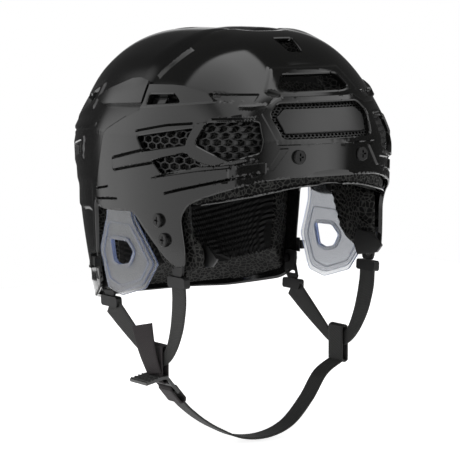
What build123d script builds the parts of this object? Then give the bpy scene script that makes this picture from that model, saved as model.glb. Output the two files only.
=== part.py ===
from build123d import *
import math
import os

# An ice hockey helmet. It faces -Y, the wearer's left is +X and +Z is up.
# The origin is on the middle plane at the level of the brow edge, where the head's middle is.

# Main sizes of the outer shell surface, in millimetres
shell_half_width = 104.0
shell_front_reach = 124.0
shell_rear_reach = 149.0
crown_height = 108.5
widest_height = 30.0
rim_depth = 100.0

# Exponents of the rounded section and of the crown, and the draw-in towards the rim
section_power = 2.4
crown_power = 3.5
side_draw_share = 0.03
rear_draw_share = 0.13
section_count = 32
drop_shares = (1.35, 1.1, 0.85, 0.6, 0.3, 0.0)
rise_shares = (0.18, 0.36, 0.54, 0.7, 0.83, 0.92, 0.97, 0.996)

# Walls, the running gap between the two shells and the seat gap of fixed pieces
front_wall = 3.0
slide_gap = 0.9
rear_wall = 2.6
seat_gap = 0.3
tuck_length = 18.0
slide_travel = 12.0
overrun = 60.0

# Space for the head inside the pads
cavity_half_width = 80.0
cavity_front_reach = 99.0
cavity_rear_reach = 112.0
cavity_height = 85.0

# Lattice sheets behind the vents
lattice_wall = 3.2
cell_across = 6.4
cell_web = 1.5
lattice_margin = 3.0
lattice_split_share = 0.443

# Side outlines as shares: y of the front or rear reach, z of the crown height or rim depth
seam_shares = (
    (0.141, 0.305), (-0.024, 0.417), (-0.153, 0.472), (-0.153, 0.667), (-0.266, 0.861),
    (-0.21, 1.2),
)
brow_edge_shares = ((-1.2, 1.2), (-1.2, 0.04), (-0.95, 0.03), (-0.69, -0.1), (-0.58, -0.165))
leg_shares = ((-0.532, -0.26), (-0.548, -0.46), (-0.524, -0.55), (-0.42, -0.58), (-0.145, -0.25))
finger_shares = ((0.148, -0.27), (0.222, -0.25), (0.248, -0.19), (0.228, -0.1), (0.195, 0.074))
tongue_shares = ((0.02, -0.04), (0.22, -0.04), (0.22, -0.2))
rear_edge_shares = (
    (0.3, -0.22), (0.31, -0.6), (0.3, -0.86), (0.4, -0.93), (0.64, -0.99), (1.2, -1.01),
    (1.2, 1.2),
)
long_vent_shares = ((-0.194, 0.287), (-0.589, 0.361), (-0.581, 0.25), (-0.25, 0.185))
hex_vent_shares = (
    (-0.653, 0.398),
    (-0.855, 0.407),
    (-0.911, 0.278),
    (-0.903, 0.204),
    (-0.798, 0.148),
    (-0.637, 0.25),
)
low_vent_shares = ((-0.331, 0.13), (-0.581, 0.194), (-0.669, 0.111), (-0.403, 0.046))
band_slot_shares = ((-0.19, 0.556), (-0.387, 0.565), (-0.45, 0.515), (-0.19, 0.491))
rear_high_vent_shares = ((0.42, 0.56), (0.62, 0.47), (0.62, 0.38), (0.44, 0.47))
rear_low_vent_shares = ((0.46, 0.2), (0.7, 0.14), (0.7, 0.05), (0.48, 0.11))

# Front and plan outlines as shares of the half width, the crown height and the reaches
recess_shares = (
    (-0.337, 0.519), (0.337, 0.519), (0.413, 0.444), (0.375, 0.292), (-0.375, 0.292),
    (-0.413, 0.444),
)
front_slot_shares = (
    (-0.298, 0.611), (-0.231, 0.699), (0.231, 0.699), (0.298, 0.611), (0.231, 0.593),
    (-0.231, 0.593),
)
top_vent_shares = ((-0.087, -0.5), (0.087, -0.5), (0.058, -0.645), (-0.058, -0.645))
crown_vent_shares = ((0.17, 0.12), (0.27, 0.12), (0.27, 0.4), (0.2, 0.4))
vent_corner = 2.0
recess_corner = 3.0

# Brow plate that lies in the front recess
plate_margin = 3.6
plate_sink = 1.2

# Side outlines of the soft pads, as shares like the shell's
brow_pad_shares = (
    (-1.2, 0.57), (-1.2, -0.05), (-1.0, -0.055), (-0.65, -0.15), (-0.58, -0.17), (-0.5, -0.12),
    (-0.5, 0.57),
)
side_pad_shares = ((-0.48, 0.5), (-0.48, -0.12), (-0.13, -0.12), (-0.11, -0.04), (0.07, -0.04), (0.07, 0.5))
temple_pad_shares = (
    (-0.47, -0.145),
    (-0.53, -0.2),
    (-0.548, -0.44),
    (-0.61, -0.48),
    (-0.61, -0.62),
    (-0.45, -0.68),
    (-0.33, -0.6),
    (-0.2, -0.32),
    (-0.15, -0.145),
)
temple_inner_share = 0.73
crown_pad_shares = ((-0.38, 0.54), (0.5, 0.54), (0.5, 1.2), (-0.38, 1.2))
rear_pad_shares = (
    (0.1, 0.5), (0.1, -0.03), (0.3, -0.03), (0.37, -0.24), (0.37, -0.84), (0.6, -0.93),
    (1.2, -0.97), (1.2, 0.5),
)
nape_pad_shares = ((0.45, 0.5), (0.45, -0.95), (1.2, -0.97), (1.2, 0.5))
pad_corner = 4.0
nape_half_width = 20.0
pad_channel = 5.0
groove_width = 2.4
groove_depth = 2.0
groove_pitch = 11.0
groove_count = 11
groove_low_drop = 72.0

# Thin shiny lip under the brow pad
lip_thickness = 1.5
lip_depth = 17.0
lip_shares = ((-1.2, -0.05), (-1.0, -0.055), (-0.65, -0.15), (-0.58, -0.17))

# Clear ear guards
guard_half_width = 95.6
guard_thickness = 2.4
guard_shares = (
    (0.21, -0.1),
    (-0.06, -0.1),
    (-0.06, -0.3),
    (-0.32, -0.62),
    (-0.18, -0.82),
    (0.067, -0.91),
    (0.2, -0.87),
    (0.275, -0.59),
    (0.21, -0.31),
)
guard_hole_shares = (
    (0.15, -0.495), (0.0, -0.49), (-0.07, -0.56), (-0.02, -0.65), (0.067, -0.675),
    (0.12, -0.655),
)
guard_corner = 4.0
guard_hole_corner = 2.5
guard_rim_width = 3.0
guard_rim_rise = 0.8
stud_y_shares = (0.0, 0.15)
stud_z_share = -0.17
stud_radius = 3.0
stud_head_radius = 5.0
stud_head_thickness = 1.8

# Screws and their barbed nuts
screw_radius = 2.4
screw_head_radius = 5.2
screw_head_thickness = 3.6
screw_dome = 0.8
spot_depth = 1.0
spot_clearance = 0.8
brow_spot_clearance = 2.4
cross_length = 5.6
cross_width = 1.2
cross_depth = 1.3
nut_barrel_radius = 3.4
nut_bore_clearance = 0.2
nut_hole_clearance = 0.3
nut_flange_radius = 6.4
nut_flange_thickness = 1.6
brow_screw_x_share = 0.27
brow_screw_z_share = 0.172
temple_screw_shares = ((-0.379, -0.29), (-0.419, -0.43))

# Webbing and the slanted plane in which each side's webbing hangs
web_width = 18.0
web_thickness = 1.6
web_lean = 3.15
web_half_span = 83.5
web_foot_drop = 134.0
swing_y = -23.0
swing_drop = 125.5
web_notch_clearance = 0.8
web_front_y = -55.0
web_rear_y = 40.0
web_foot_half = 10.0
web_foot_lift = 3.2
web_foot_width = 11.0
web_narrow_width = 14.0

# Hangers and sliders that hold the webbing
hanger_thickness = 2.0
front_hanger_half = 8.0
front_hanger_top_drop = 36.0
front_hanger_foot_drop = 70.0
front_hanger_waist = 5.5
hanger_slot_length = 11.0
hanger_slot_width = 2.4
front_slot_drop = 61.0
rear_hanger_half = 6.5
rear_hanger_y = 44.5
rear_hanger_top_drop = 73.0
rear_hanger_foot_drop = 95.0
rear_slot_drop = 90.0
rivet_radius = 2.0
rivet_head_radius = 3.6
rivet_head_thickness = 1.4
rivet_drop = 79.5
rivet_y = 47.5
slider_height = 8.0
slider_thickness = 5.0
slider_margin = 2.2

# Chin strap: middle line of the strap in the hanging plane, seen from the front
strap_gap = 0.6
loop_height = 27.0
fold_length = 13.0
chin_x_shares = (-0.62, -0.4, -0.1, 0.16, 0.42, 0.64, 0.8)
chin_drops = (180.0, 191.5, 202.5, 203.0, 196.0, 178.0, 159.0)
ribbon_steps = 3
tail_length = 44.0
tail_lean = 9.0
tail_back_lean = 12.0
tail_thickness = 1.4

# Buckle on the wearer's right side
buckle_height = 17.0
buckle_thickness = 2.4
buckle_margin = 2.5
buckle_bar = 2.4
buckle_lean = 40.0
tab_thickness = 2.2
tab_length = 15.0
tab_droop = 12.0
tab_ear = 2.2
tab_rib_count = 4
tab_rib = 0.8

# Latches that lock the sliding rear shell
latch_y_share = 0.325
latch_drop = 69.0
latch_height = 11.0
latch_length = 12.0
latch_base_thickness = 1.6
latch_ear = 1.8
latch_lever_thickness = 2.4
latch_pin_radius = 1.0
latch_pin_clearance = 0.1
latch_barrel_wall = 0.8
latch_lip = 1.6

# Small hexagonal tab on each temple pad
tab_plate_thickness = 1.6
tab_plate_corner = 1.0
tab_plate_shares = (
    (-0.46, -0.46), (-0.61, -0.465), (-0.71, -0.55), (-0.66, -0.61), (-0.47, -0.65),
    (-0.43, -0.56),
)

parts_folder = "parts"


# Heights and places on the shell surface

def place(share_pair):
    """Side-view point (y, z) of a pair of shares."""
    y_share, z_share = share_pair
    y = y_share * (shell_front_reach if y_share < 0 else shell_rear_reach)
    z = z_share * (crown_height if z_share > 0 else rim_depth)
    return (y, z)


def front_place(share_pair):
    """Front-view point (x, z) of a pair of shares."""
    x_share, z_share = share_pair
    return (x_share * shell_half_width, z_share * crown_height)


def plan_place(share_pair):
    """Plan-view point (x, y) of a pair of shares."""
    x_share, y_share = share_pair
    y = y_share * (shell_front_reach if y_share < 0 else shell_rear_reach)
    return (x_share * shell_half_width, y)


def section_levels(top):
    """(z, width factor, rear factor) of each section, from below the rim to the crown."""
    levels = []
    for share in drop_shares:
        z = widest_height - share * rim_depth
        levels.append((z, 1 - side_draw_share * share ** 2, 1 - rear_draw_share * share ** 2))
    for share in rise_shares:
        factor = (1 - share) ** (1 / crown_power)
        levels.append((widest_height + share * (top - widest_height), factor, factor))
    return levels


def section_points(half_width, front_reach, rear_reach, z):
    """Corners of a closed rounded section, fuller than an ellipse."""
    points = []
    for index in range(section_count):
        turn = math.tau * index / section_count
        along = math.copysign(abs(math.cos(turn)) ** (2 / section_power), math.cos(turn))
        across = math.copysign(abs(math.sin(turn)) ** (2 / section_power), math.sin(turn))
        reach = front_reach if across < 0 else rear_reach
        points.append(Vector(half_width * along, reach * across, z))
    return points


def ring(z, half_width, front_reach, rear_reach, top):
    """Corners of a dome's section at height z."""
    levels = section_levels(top)
    high = next(index for index, level in enumerate(levels) if level[0] >= z and index)
    low_z, low_width, low_rear = levels[high - 1]
    high_z, high_width, high_rear = levels[high]
    part_way = (z - low_z) / (high_z - low_z)
    width = low_width + part_way * (high_width - low_width)
    rear = low_rear + part_way * (high_rear - low_rear)
    return section_points(half_width * width, front_reach * width, rear_reach * rear, z)


def shell_sizes(inset):
    """Half width, reaches and top of the shell surface moved inward."""
    sizes = (shell_half_width, shell_front_reach, shell_rear_reach, crown_height)
    return [size - inset for size in sizes]


def surface_x(y, z, inset):
    """Distance of the shell surface from the middle plane."""
    return side_x(y, ring(z, *shell_sizes(inset)))


def side_x(y, section):
    """x of the left wall of a section."""
    return between(y, [(point.Y, point.X) for point in section if point.X >= 0])


def surface_front(x, z, inset):
    """y of the shell surface at the front."""
    return between(x, [(point.X, point.Y) for point in ring(z, *shell_sizes(inset)) if point.Y <= 0])


def between(key, pairs):
    """Value at key on the line through (key, value) pairs."""
    ordered = sorted(pairs)
    high = next(index for index, pair in enumerate(ordered) if pair[0] >= key and index)
    low_key, low_value = ordered[high - 1]
    high_key, high_value = ordered[high]
    return low_value + (key - low_key) / (high_key - low_key) * (high_value - low_value)


def dome_of(half_width, front_reach, rear_reach, top):
    """Faceted solid under a crown, down to below the rim."""
    wires = []
    for z, width, rear in section_levels(top):
        corners = section_points(half_width * width, front_reach * width, rear_reach * rear, z)
        wires.append(Wire.make_polygon(corners, close=True))
    return Solid.make_loft(wires, ruled=True)


def dome(inset):
    """Shell surface moved inward, as a solid."""
    return dome_of(*shell_sizes(inset))


# Tools that cut or keep a region

def side_prism(points, corner=0.0, near=None, far=None):
    """Outline in the side view, run across the helmet or between two distances."""
    outline = Polygon(*points, align=None)
    if corner:
        outline = fillet(outline.vertices(), corner)
    if near is None:
        return extrude(Plane.YZ * outline, shell_half_width + overrun, dir=(1, 0, 0), both=True)
    return extrude(Plane.YZ.offset(near) * outline, far - near, dir=(1, 0, 0))


def front_prism(points, corner=0.0):
    """Outline in the front view, run forward from the middle."""
    outline = Polygon(*points, align=None)
    if corner:
        outline = fillet(outline.vertices(), corner)
    return forward(outline)


def forward(sketch):
    """Front-view sketch run forward from the middle."""
    return extrude(Plane.XZ * sketch, shell_front_reach + overrun, dir=(0, -1, 0))


def plan_prism(points, corner=0.0):
    """Outline in plan, run upward through the crown."""
    outline = Polygon(*points, align=None)
    if corner:
        outline = fillet(outline.vertices(), corner)
    return extrude(Plane.XY * outline, crown_height + overrun, dir=(0, 0, 1))


def block(x_range, y_range, z_range):
    """Box between three pairs of limits."""
    size = [high - low for low, high in (x_range, y_range, z_range)]
    middle = [(high + low) / 2 for low, high in (x_range, y_range, z_range)]
    return Pos(*middle) * Box(*size)


def rod_x(y, z, x_from, x_to, radius):
    """Cylinder along X between two distances."""
    return Pos((x_from + x_to) / 2, y, z) * Rot(0, 90, 0) * Cylinder(radius, abs(x_to - x_from))


def rod_y(x, z, y_from, y_to, radius):
    """Cylinder along Y between two distances."""
    return Pos(x, (y_from + y_to) / 2, z) * Rot(90, 0, 0) * Cylinder(radius, abs(y_to - y_from))


def mirrored(shape):
    """The same piece on the other side of the middle plane."""
    return mirror(shape, about=Plane.YZ)


def ribbon(points, thickness):
    """Thin outline along a smooth line through points, as a sketch on the XY plane."""
    middle = Spline(*points)
    near_side = []
    far_side = []
    steps = len(points) * ribbon_steps
    for index in range(steps + 1):
        spot = middle.position_at(index / steps)
        heading = middle.tangent_at(index / steps)
        across = Vector(-heading.Y, heading.X, 0) * (thickness / 2)
        near_side.append(spot + across)
        far_side.append(spot - across)
    ends = [Line(near_side[-1], far_side[-1]), Line(near_side[0], far_side[0])]
    return make_face([Spline(*near_side), Spline(*far_side)] + ends)


# Insets of the surfaces that the layers share
rear_outer_inset = front_wall + slide_gap
rear_inner_inset = rear_outer_inset + rear_wall
lattice_outer_inset = front_wall + seat_gap
lattice_inner_inset = lattice_outer_inset + lattice_wall
pad_outer_inset = rear_inner_inset + seat_gap


# Screw places, worked out on the surface

def temple_screw_places():
    """(y, z, outer surface x) of each temple screw on one side."""
    spots = []
    for pair in temple_screw_shares:
        y, z = place(pair)
        spots.append((y, z, surface_x(y, z, 0)))
    return spots


brow_screw_x = brow_screw_x_share * shell_half_width
brow_screw_z = brow_screw_z_share * crown_height
brow_face_y = surface_front(brow_screw_x, brow_screw_z, 0)


# The two shells

def front_outline():
    shares = brow_edge_shares + leg_shares + finger_shares + seam_shares
    return [place(pair) for pair in shares]


def rear_outline():
    seam = [place(pair) for pair in seam_shares]
    tongue = [(y - tuck_length, z) for y, z in reversed(seam)]
    rest = [place(pair) for pair in tongue_shares + rear_edge_shares]
    return tongue + rest


def screw_seats():
    """Spot faces and nut holes of all shell screws."""
    cuts = []
    for y, z, x in temple_screw_places():
        seat = rod_x(y, z, x - spot_depth, x + overrun, screw_head_radius + spot_clearance)
        hole = rod_x(y, z, x - overrun / 2, x + overrun, nut_barrel_radius + nut_hole_clearance)
        cuts += [seat, hole, mirrored(seat), mirrored(hole)]
    front_y = brow_face_y - overrun
    seat_radius = screw_head_radius + brow_spot_clearance
    seat = rod_y(brow_screw_x, brow_screw_z, brow_face_y + spot_depth, front_y, seat_radius)
    hole_radius = nut_barrel_radius + nut_hole_clearance
    hole = rod_y(brow_screw_x, brow_screw_z, brow_face_y + overrun / 2, front_y, hole_radius)
    return cuts + [seat, hole, mirrored(seat), mirrored(hole)]


def front_shell(outer, inner):
    shell = (outer - inner) & side_prism(front_outline())
    cuts = screw_seats()
    for shares in (long_vent_shares, hex_vent_shares, low_vent_shares, band_slot_shares):
        cuts.append(side_prism([place(pair) for pair in shares], vent_corner))
    cuts.append(front_prism([front_place(pair) for pair in recess_shares], recess_corner))
    cuts.append(front_prism([front_place(pair) for pair in front_slot_shares], vent_corner))
    cuts.append(plan_prism([plan_place(pair) for pair in top_vent_shares], vent_corner))
    return shell - cuts


def latch_place():
    """Frame of the latch on the left side, local X pointing out of the shell."""
    y = latch_y_share * shell_rear_reach
    x = surface_x(y, -latch_drop, rear_outer_inset)
    ahead = surface_x(y + seat_gap, -latch_drop, rear_outer_inset)
    slope = math.degrees(math.atan2(x - ahead, seat_gap))
    return Pos(x, y, -latch_drop) * Rot(0, 0, slope)


def rear_shell(outer, inner):
    shell = (outer - inner) & side_prism(rear_outline())
    cuts = []
    for shares in (rear_high_vent_shares, rear_low_vent_shares):
        cuts.append(side_prism([place(pair) for pair in shares], vent_corner))
    rivet_x = surface_x(rivet_y, -rivet_drop, rear_outer_inset)
    far_x = rivet_x + overrun
    hole = rod_x(rivet_y, -rivet_drop, rivet_x - overrun / 2, far_x, rivet_radius + nut_hole_clearance)
    spot = rod_x(rivet_y, -rivet_drop, rivet_x - spot_depth, far_x, rivet_head_radius + spot_clearance)
    seat_height = latch_height + 2 * spot_clearance
    seat_length = latch_length + 2 * (spot_clearance + latch_lip)
    seat = latch_place() * Pos(overrun / 2 - spot_depth, 0, 0) * Box(overrun, seat_length, seat_height)
    crown_vent = plan_prism([plan_place(pair) for pair in crown_vent_shares], vent_corner)
    for cut in (hole, spot, seat, crown_vent):
        cuts += [cut, mirrored(cut)]
    return shell - cuts


# Lattice sheets and the brow plate

def cell_sketch(y_range, z_range, windows):
    """Hexagonal cells whose middles lie in the windows."""
    pitch = cell_across + cell_web
    row_step = pitch * math.sqrt(3) / 2
    cells = []
    rows = int((z_range[1] - z_range[0]) / row_step) + 1
    columns = int((y_range[1] - y_range[0]) / pitch) + 1
    for row in range(rows):
        for column in range(columns):
            y = y_range[0] + (column + 0.5 * (row % 2)) * pitch
            z = z_range[0] + row * row_step
            if any(window.is_inside((y, z, 0)) for window in windows):
                cell = RegularPolygon(cell_across / 2, 6, major_radius=False, rotation=30)
                cells.append(Pos(y, z) * cell)
    return Sketch() + cells


def window_solid(points):
    """Thin solid of a window outline, used to test points."""
    return extrude(Polygon(*points, align=None), overrun, dir=(0, 0, 1), both=True).solid()


def lattice_region():
    points = [place(pair) for pair in long_vent_shares + hex_vent_shares + low_vent_shares]
    low_y = min(y for y, z in points) - lattice_margin
    high_y = max(y for y, z in points) + lattice_margin
    low_z = min(z for y, z in points) - lattice_margin
    high_z = max(z for y, z in points) + lattice_margin
    return (low_y, high_y), (low_z, high_z)


def side_lattice(outer, inner):
    y_range, z_range = lattice_region()
    near_x = lattice_split_share * shell_half_width + seat_gap
    sheet = (outer - inner) & block((near_x, shell_half_width + overrun), y_range, z_range)
    sheet -= tongue_zone(lattice_margin)
    windows = []
    for shares in (long_vent_shares, hex_vent_shares, low_vent_shares):
        windows.append(window_solid([place(pair) for pair in shares]))
    cells = cell_sketch(y_range, z_range, windows)
    return sheet - extrude(Plane.YZ * cells, shell_half_width + overrun, dir=(1, 0, 0))


def tongue_zone(margin):
    """Room of the rear shell's tongue under the front shell."""
    points = [(y - tuck_length - margin, z - margin) for y, z in (place(pair) for pair in seam_shares)]
    back = shell_rear_reach
    foot_z = points[0][1] - rim_depth
    return side_prism([(back, foot_z), (points[0][0], foot_z)] + points + [(back, points[-1][1])])


def brow_lattice(outer, inner):
    points = [front_place(pair) for pair in recess_shares]
    high_x = lattice_split_share * shell_half_width
    low_z = min(z for x, z in points) - lattice_margin
    high_z = max(z for x, z in points) + lattice_margin
    sheet = (outer - inner) & block((-high_x, high_x), (-shell_front_reach - overrun, 0), (low_z, high_z))
    cells = cell_sketch((-high_x, high_x), (low_z, high_z), [window_solid(points)])
    return sheet - forward(cells)


def brow_plate():
    points = [front_place(pair) for pair in recess_shares]
    outline = Polygon(*points, align=None)
    outline = offset(outline, -plate_margin, kind=Kind.INTERSECTION)
    band = dome(plate_sink) - dome(front_wall)
    return band & forward(outline)


# Soft pads

def grooves():
    """Shallow channels that run across the pads' inner faces."""
    cuts = []
    cavity = dome_of(
        cavity_half_width + groove_depth,
        cavity_front_reach + groove_depth,
        cavity_rear_reach + groove_depth,
        cavity_height + groove_depth,
    )
    reach = shell_rear_reach + overrun
    for index in range(groove_count):
        z = index * groove_pitch - groove_low_drop
        slab = block((-reach, reach), (-reach, reach), (z - groove_width / 2, z + groove_width / 2))
        cuts.append(slab & cavity)
    return cuts


def brow_pad(pad_blank, thick_blank):
    points = [place(pair) for pair in brow_pad_shares]
    region = side_prism(points)
    pad = pad_blank & region
    reach = shell_front_reach + overrun
    low_top = lattice_region()[1][0] - seat_gap
    low_band = block((-reach, reach), (-reach, points[-1][0]), (-rim_depth, low_top))
    nose_half = lattice_split_share * shell_half_width
    nose_top = min(front_place(pair)[1] for pair in recess_shares) - lattice_margin - seat_gap
    nose_band = block((-nose_half, nose_half), (-reach, 0), (-rim_depth, nose_top))
    pad += thick_blank & region & low_band
    pad += thick_blank & region & nose_band
    deep_y = brow_face_y + brow_nut_depth()
    pocket = rod_y(brow_screw_x, brow_screw_z, brow_face_y, deep_y, nut_flange_radius + seat_gap)
    return pad - pocket - mirrored(pocket)


def brow_nut_depth():
    """How far the brow nuts and screws reach in behind the face."""
    wall_y = surface_front(brow_screw_x + nut_flange_radius, brow_screw_z + nut_flange_radius, front_wall)
    return wall_y - brow_face_y + nut_flange_thickness + 2 * seat_gap


def side_pad(pad_blank):
    """Pad that leaves the rear shell's tongue free to slide back over it."""
    region = side_prism([place(pair) for pair in side_pad_shares], pad_corner, 0, shell_half_width + overrun)
    slid = Pos(0, slide_travel, 0) * dome(pad_outer_inset)
    return (pad_blank & region) - (tongue_zone(lattice_margin) - slid)


temple_inner_x = temple_inner_share * shell_half_width


def temple_pad(pad_blank):
    points = [place(pair) for pair in temple_pad_shares]
    pad = pad_blank & side_prism(points, pad_corner, temple_inner_x, shell_half_width + overrun)
    for y, z, x in temple_screw_places():
        pad -= rod_x(y, z, nut_flange_x(y, z) - seat_gap, x, nut_flange_radius + seat_gap)
    pad -= web_slab(front_hanger_sketch(seat_gap), hanger_thickness + 2 * seat_gap)
    return pad


def crown_pad(pad_blank):
    region = side_prism([place(pair) for pair in crown_pad_shares], pad_corner)
    return pad_blank & region


def rear_pad(pad_blank):
    points = [place(pair) for pair in rear_pad_shares]
    near = nape_half_width + pad_channel
    return pad_blank & side_prism(points, pad_corner, near, shell_half_width + overrun)


def nape_pad(pad_blank):
    points = [place(pair) for pair in nape_pad_shares]
    return pad_blank & side_prism(points, pad_corner, -nape_half_width, nape_half_width)


def brow_lip(outer):
    """Thin lip that follows the brow pad's lower edge."""
    upper = [place(pair) for pair in lip_shares]
    top = [(y, z - seat_gap) for y, z in upper]
    bottom = [(y, z - seat_gap - lip_thickness) for y, z in reversed(upper)]
    band = outer - dome(front_wall + lip_depth)
    return band & side_prism(top + bottom)


# Ear guards

def ear_guard():
    points = [place(pair) for pair in guard_shares]
    outline = fillet(Polygon(*points, align=None).vertices(), guard_corner)
    hole = Polygon(*[place(pair) for pair in guard_hole_shares], align=None)
    hole = fillet(hole.vertices(), guard_hole_corner)
    inside_x = guard_half_width - guard_thickness
    plate = extrude(Plane.YZ.offset(inside_x) * (outline - hole), guard_thickness, dir=(1, 0, 0))
    collar = offset(hole, guard_rim_width) - hole
    plate += extrude(Plane.YZ.offset(guard_half_width) * collar, guard_rim_rise, dir=(1, 0, 0))
    for share in stud_y_shares:
        y, z = place((share, stud_z_share))
        outer_x = guard_half_width + guard_thickness
        plate -= rod_x(y, z, inside_x - guard_thickness, outer_x, stud_radius + seat_gap)
    return plate


def guard_studs():
    """Two headed studs from the shell's inner face through the guard."""
    studs = []
    head_x = guard_half_width - guard_thickness - seat_gap
    for share in stud_y_shares:
        y, z = place((share, stud_z_share))
        end_x = surface_x(y + stud_radius, z, front_wall) - seat_gap
        stud = rod_x(y, z, head_x, end_x, stud_radius)
        stud += rod_x(y, z, head_x - stud_head_thickness, head_x, stud_head_radius)
        studs.append(stud)
    return studs


# Screws and nuts, built with the head pointing along +X at the origin plane

def screw(shank_length):
    """Cross-head screw, seat plane at x = 0."""
    head = rod_x(0, 0, 0, screw_head_thickness, screw_head_radius)
    head = fillet(head.edges().sort_by(Axis.X)[-1], screw_dome)
    head += rod_x(0, 0, -shank_length, 0, screw_radius)
    slot_x = (screw_head_thickness - cross_depth, screw_head_thickness + cross_depth)
    slot = block(slot_x, (-cross_length / 2, cross_length / 2), (-cross_width / 2, cross_width / 2))
    return head - slot - Rot(90, 0, 0) * slot


def barbed_nut(barrel_length):
    """Flanged nut, flange top at x = 0 and barrel towards +X."""
    nut = rod_x(0, 0, -nut_flange_thickness, 0, nut_flange_radius)
    nut += rod_x(0, 0, 0, barrel_length, nut_barrel_radius)
    return nut - rod_x(0, 0, -overrun, overrun, screw_radius + nut_bore_clearance)


def nut_flange_x(y, z):
    """Inner face of the temple nut's flange at a screw place."""
    wall_inside = surface_x(y - nut_flange_radius, z - nut_flange_radius, front_wall) - seat_gap
    behind_hanger = web_x(z - nut_flange_radius) - hanger_thickness / 2 - seat_gap
    in_hanger = -z > front_hanger_top_drop - nut_flange_radius
    return (behind_hanger if in_hanger else wall_inside) - nut_flange_thickness


def temple_screws():
    pieces = []
    for y, z, x in temple_screw_places():
        seat_x = x - spot_depth
        length = seat_x - nut_flange_x(y, z)
        piece = Pos(seat_x, y, z) * screw(length)
        pieces += [piece, mirrored(piece)]
    return pieces


def temple_nuts():
    pieces = []
    for y, z, x in temple_screw_places():
        flange_top = nut_flange_x(y, z) + nut_flange_thickness
        piece = Pos(flange_top, y, z) * barbed_nut(x - spot_depth - seat_gap - flange_top)
        pieces += [piece, mirrored(piece)]
    return pieces


def brow_turn(y):
    """Frame at the left brow screw whose local X points forward."""
    return Pos(brow_screw_x, y, brow_screw_z) * Rot(0, 0, -90)


def brow_screws():
    piece = brow_turn(brow_face_y + spot_depth) * screw(brow_nut_depth() - spot_depth - seat_gap)
    return [piece, mirrored(piece)]


def brow_nuts():
    flange_top = brow_face_y + brow_nut_depth() - seat_gap - nut_flange_thickness
    barrel = flange_top - brow_face_y - spot_depth - seat_gap
    piece = brow_turn(flange_top) * barbed_nut(barrel)
    return [piece, mirrored(piece)]


# Hangers, sliders and webbing, drawn in the slanted plane of the left side

web_plane = Plane(
    origin=(web_half_span, 0, -web_foot_drop),
    x_dir=(0, 1, 0),
    z_dir=(math.cos(math.radians(web_lean)), 0, -math.sin(math.radians(web_lean))),
)


def web_x(z):
    """x of the slanted plane at height z."""
    return web_half_span + (z + web_foot_drop) * math.tan(math.radians(web_lean))


def web_point(y, drop):
    """Sketch point of a place y, -drop on the slanted plane."""
    return (y, (web_foot_drop - drop) / math.cos(math.radians(web_lean)))


def web_slab(sketch, thickness):
    return extrude(web_plane.offset(-thickness / 2) * sketch, thickness, dir=web_plane.z_dir)


def front_hanger_sketch(grow):
    """Teardrop plate, grown by a margin where it makes a pocket."""
    half = front_hanger_half + grow
    waist = front_hanger_waist + grow
    middle = place(temple_screw_shares[1])[0]
    foot = web_front_y
    points = [
        web_point(middle - waist, front_hanger_top_drop - grow),
        web_point(middle + waist, front_hanger_top_drop - grow),
        web_point(foot + half, front_slot_drop),
        web_point(foot + waist, front_hanger_foot_drop + grow),
        web_point(foot - waist, front_hanger_foot_drop + grow),
        web_point(foot - half, front_slot_drop),
    ]
    return fillet(Polygon(*points, align=None).vertices(), front_hanger_waist / 2)


def slot_cut(y, drop):
    return Pos(*web_point(y, drop)) * SlotOverall(hanger_slot_length, hanger_slot_width)


def front_hanger():
    plate = web_slab(front_hanger_sketch(0) - slot_cut(web_front_y, front_slot_drop), hanger_thickness)
    y, z = place(temple_screw_shares[1])
    return plate - rod_x(y, z, 0, shell_half_width, nut_barrel_radius + nut_hole_clearance)


def rear_hanger():
    points = [
        web_point(rear_hanger_y - rear_hanger_half, rear_hanger_top_drop),
        web_point(rear_hanger_y + rear_hanger_half, rear_hanger_top_drop),
        web_point(rear_hanger_y + rear_hanger_half, rear_slot_drop),
        web_point(web_rear_y + rear_hanger_half, rear_hanger_foot_drop),
        web_point(web_rear_y - rear_hanger_half, rear_hanger_foot_drop),
        web_point(rear_hanger_y - rear_hanger_half, rear_slot_drop - rear_hanger_half),
    ]
    outline = fillet(Polygon(*points, align=None).vertices(), rivet_radius)
    plate = web_slab(outline - slot_cut(web_rear_y + hanger_slot_width, rear_slot_drop), hanger_thickness)
    return plate - rod_x(rivet_y, -rivet_drop, 0, shell_half_width, rivet_radius + nut_hole_clearance)


def hanger_rivets():
    """Rivets through the rear shell and the rear hangers."""
    outer_x = surface_x(rivet_y, -rivet_drop, rear_outer_inset) - spot_depth
    inner_x = web_x(-rivet_drop) - hanger_thickness / 2 - seat_gap
    rivet = rod_x(rivet_y, -rivet_drop, inner_x, outer_x, rivet_radius)
    rivet += rod_x(rivet_y, -rivet_drop, outer_x, outer_x + rivet_head_thickness, rivet_head_radius)
    rivet += rod_x(rivet_y, -rivet_drop, inner_x - rivet_head_thickness, inner_x, rivet_head_radius)
    return [rivet, mirrored(rivet)]


def slider(y, top_drop, turn):
    """Block that clamps the webbing under a hanger."""
    width = web_width + 2 * slider_margin
    outline = fillet(Rectangle(width, slider_height).vertices(), slider_margin)
    spot = Pos(*web_point(y, top_drop + slider_height / 2)) * Rot(0, 0, turn)
    return web_slab(spot * outline, slider_thickness)


def strip(start, end, start_width, end_width):
    """Straight strip between two sketch points."""
    run = Vector(end[0] - start[0], end[1] - start[1], 0)
    across = Vector(-run.Y, run.X, 0).normalized() / 2
    corners = []
    for spot, reach in ((start, start_width), (end, end_width), (end, -end_width), (start, -start_width)):
        corners.append((spot[0] + across.X * reach, spot[1] + across.Y * reach))
    return Polygon(*corners, align=None)


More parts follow.
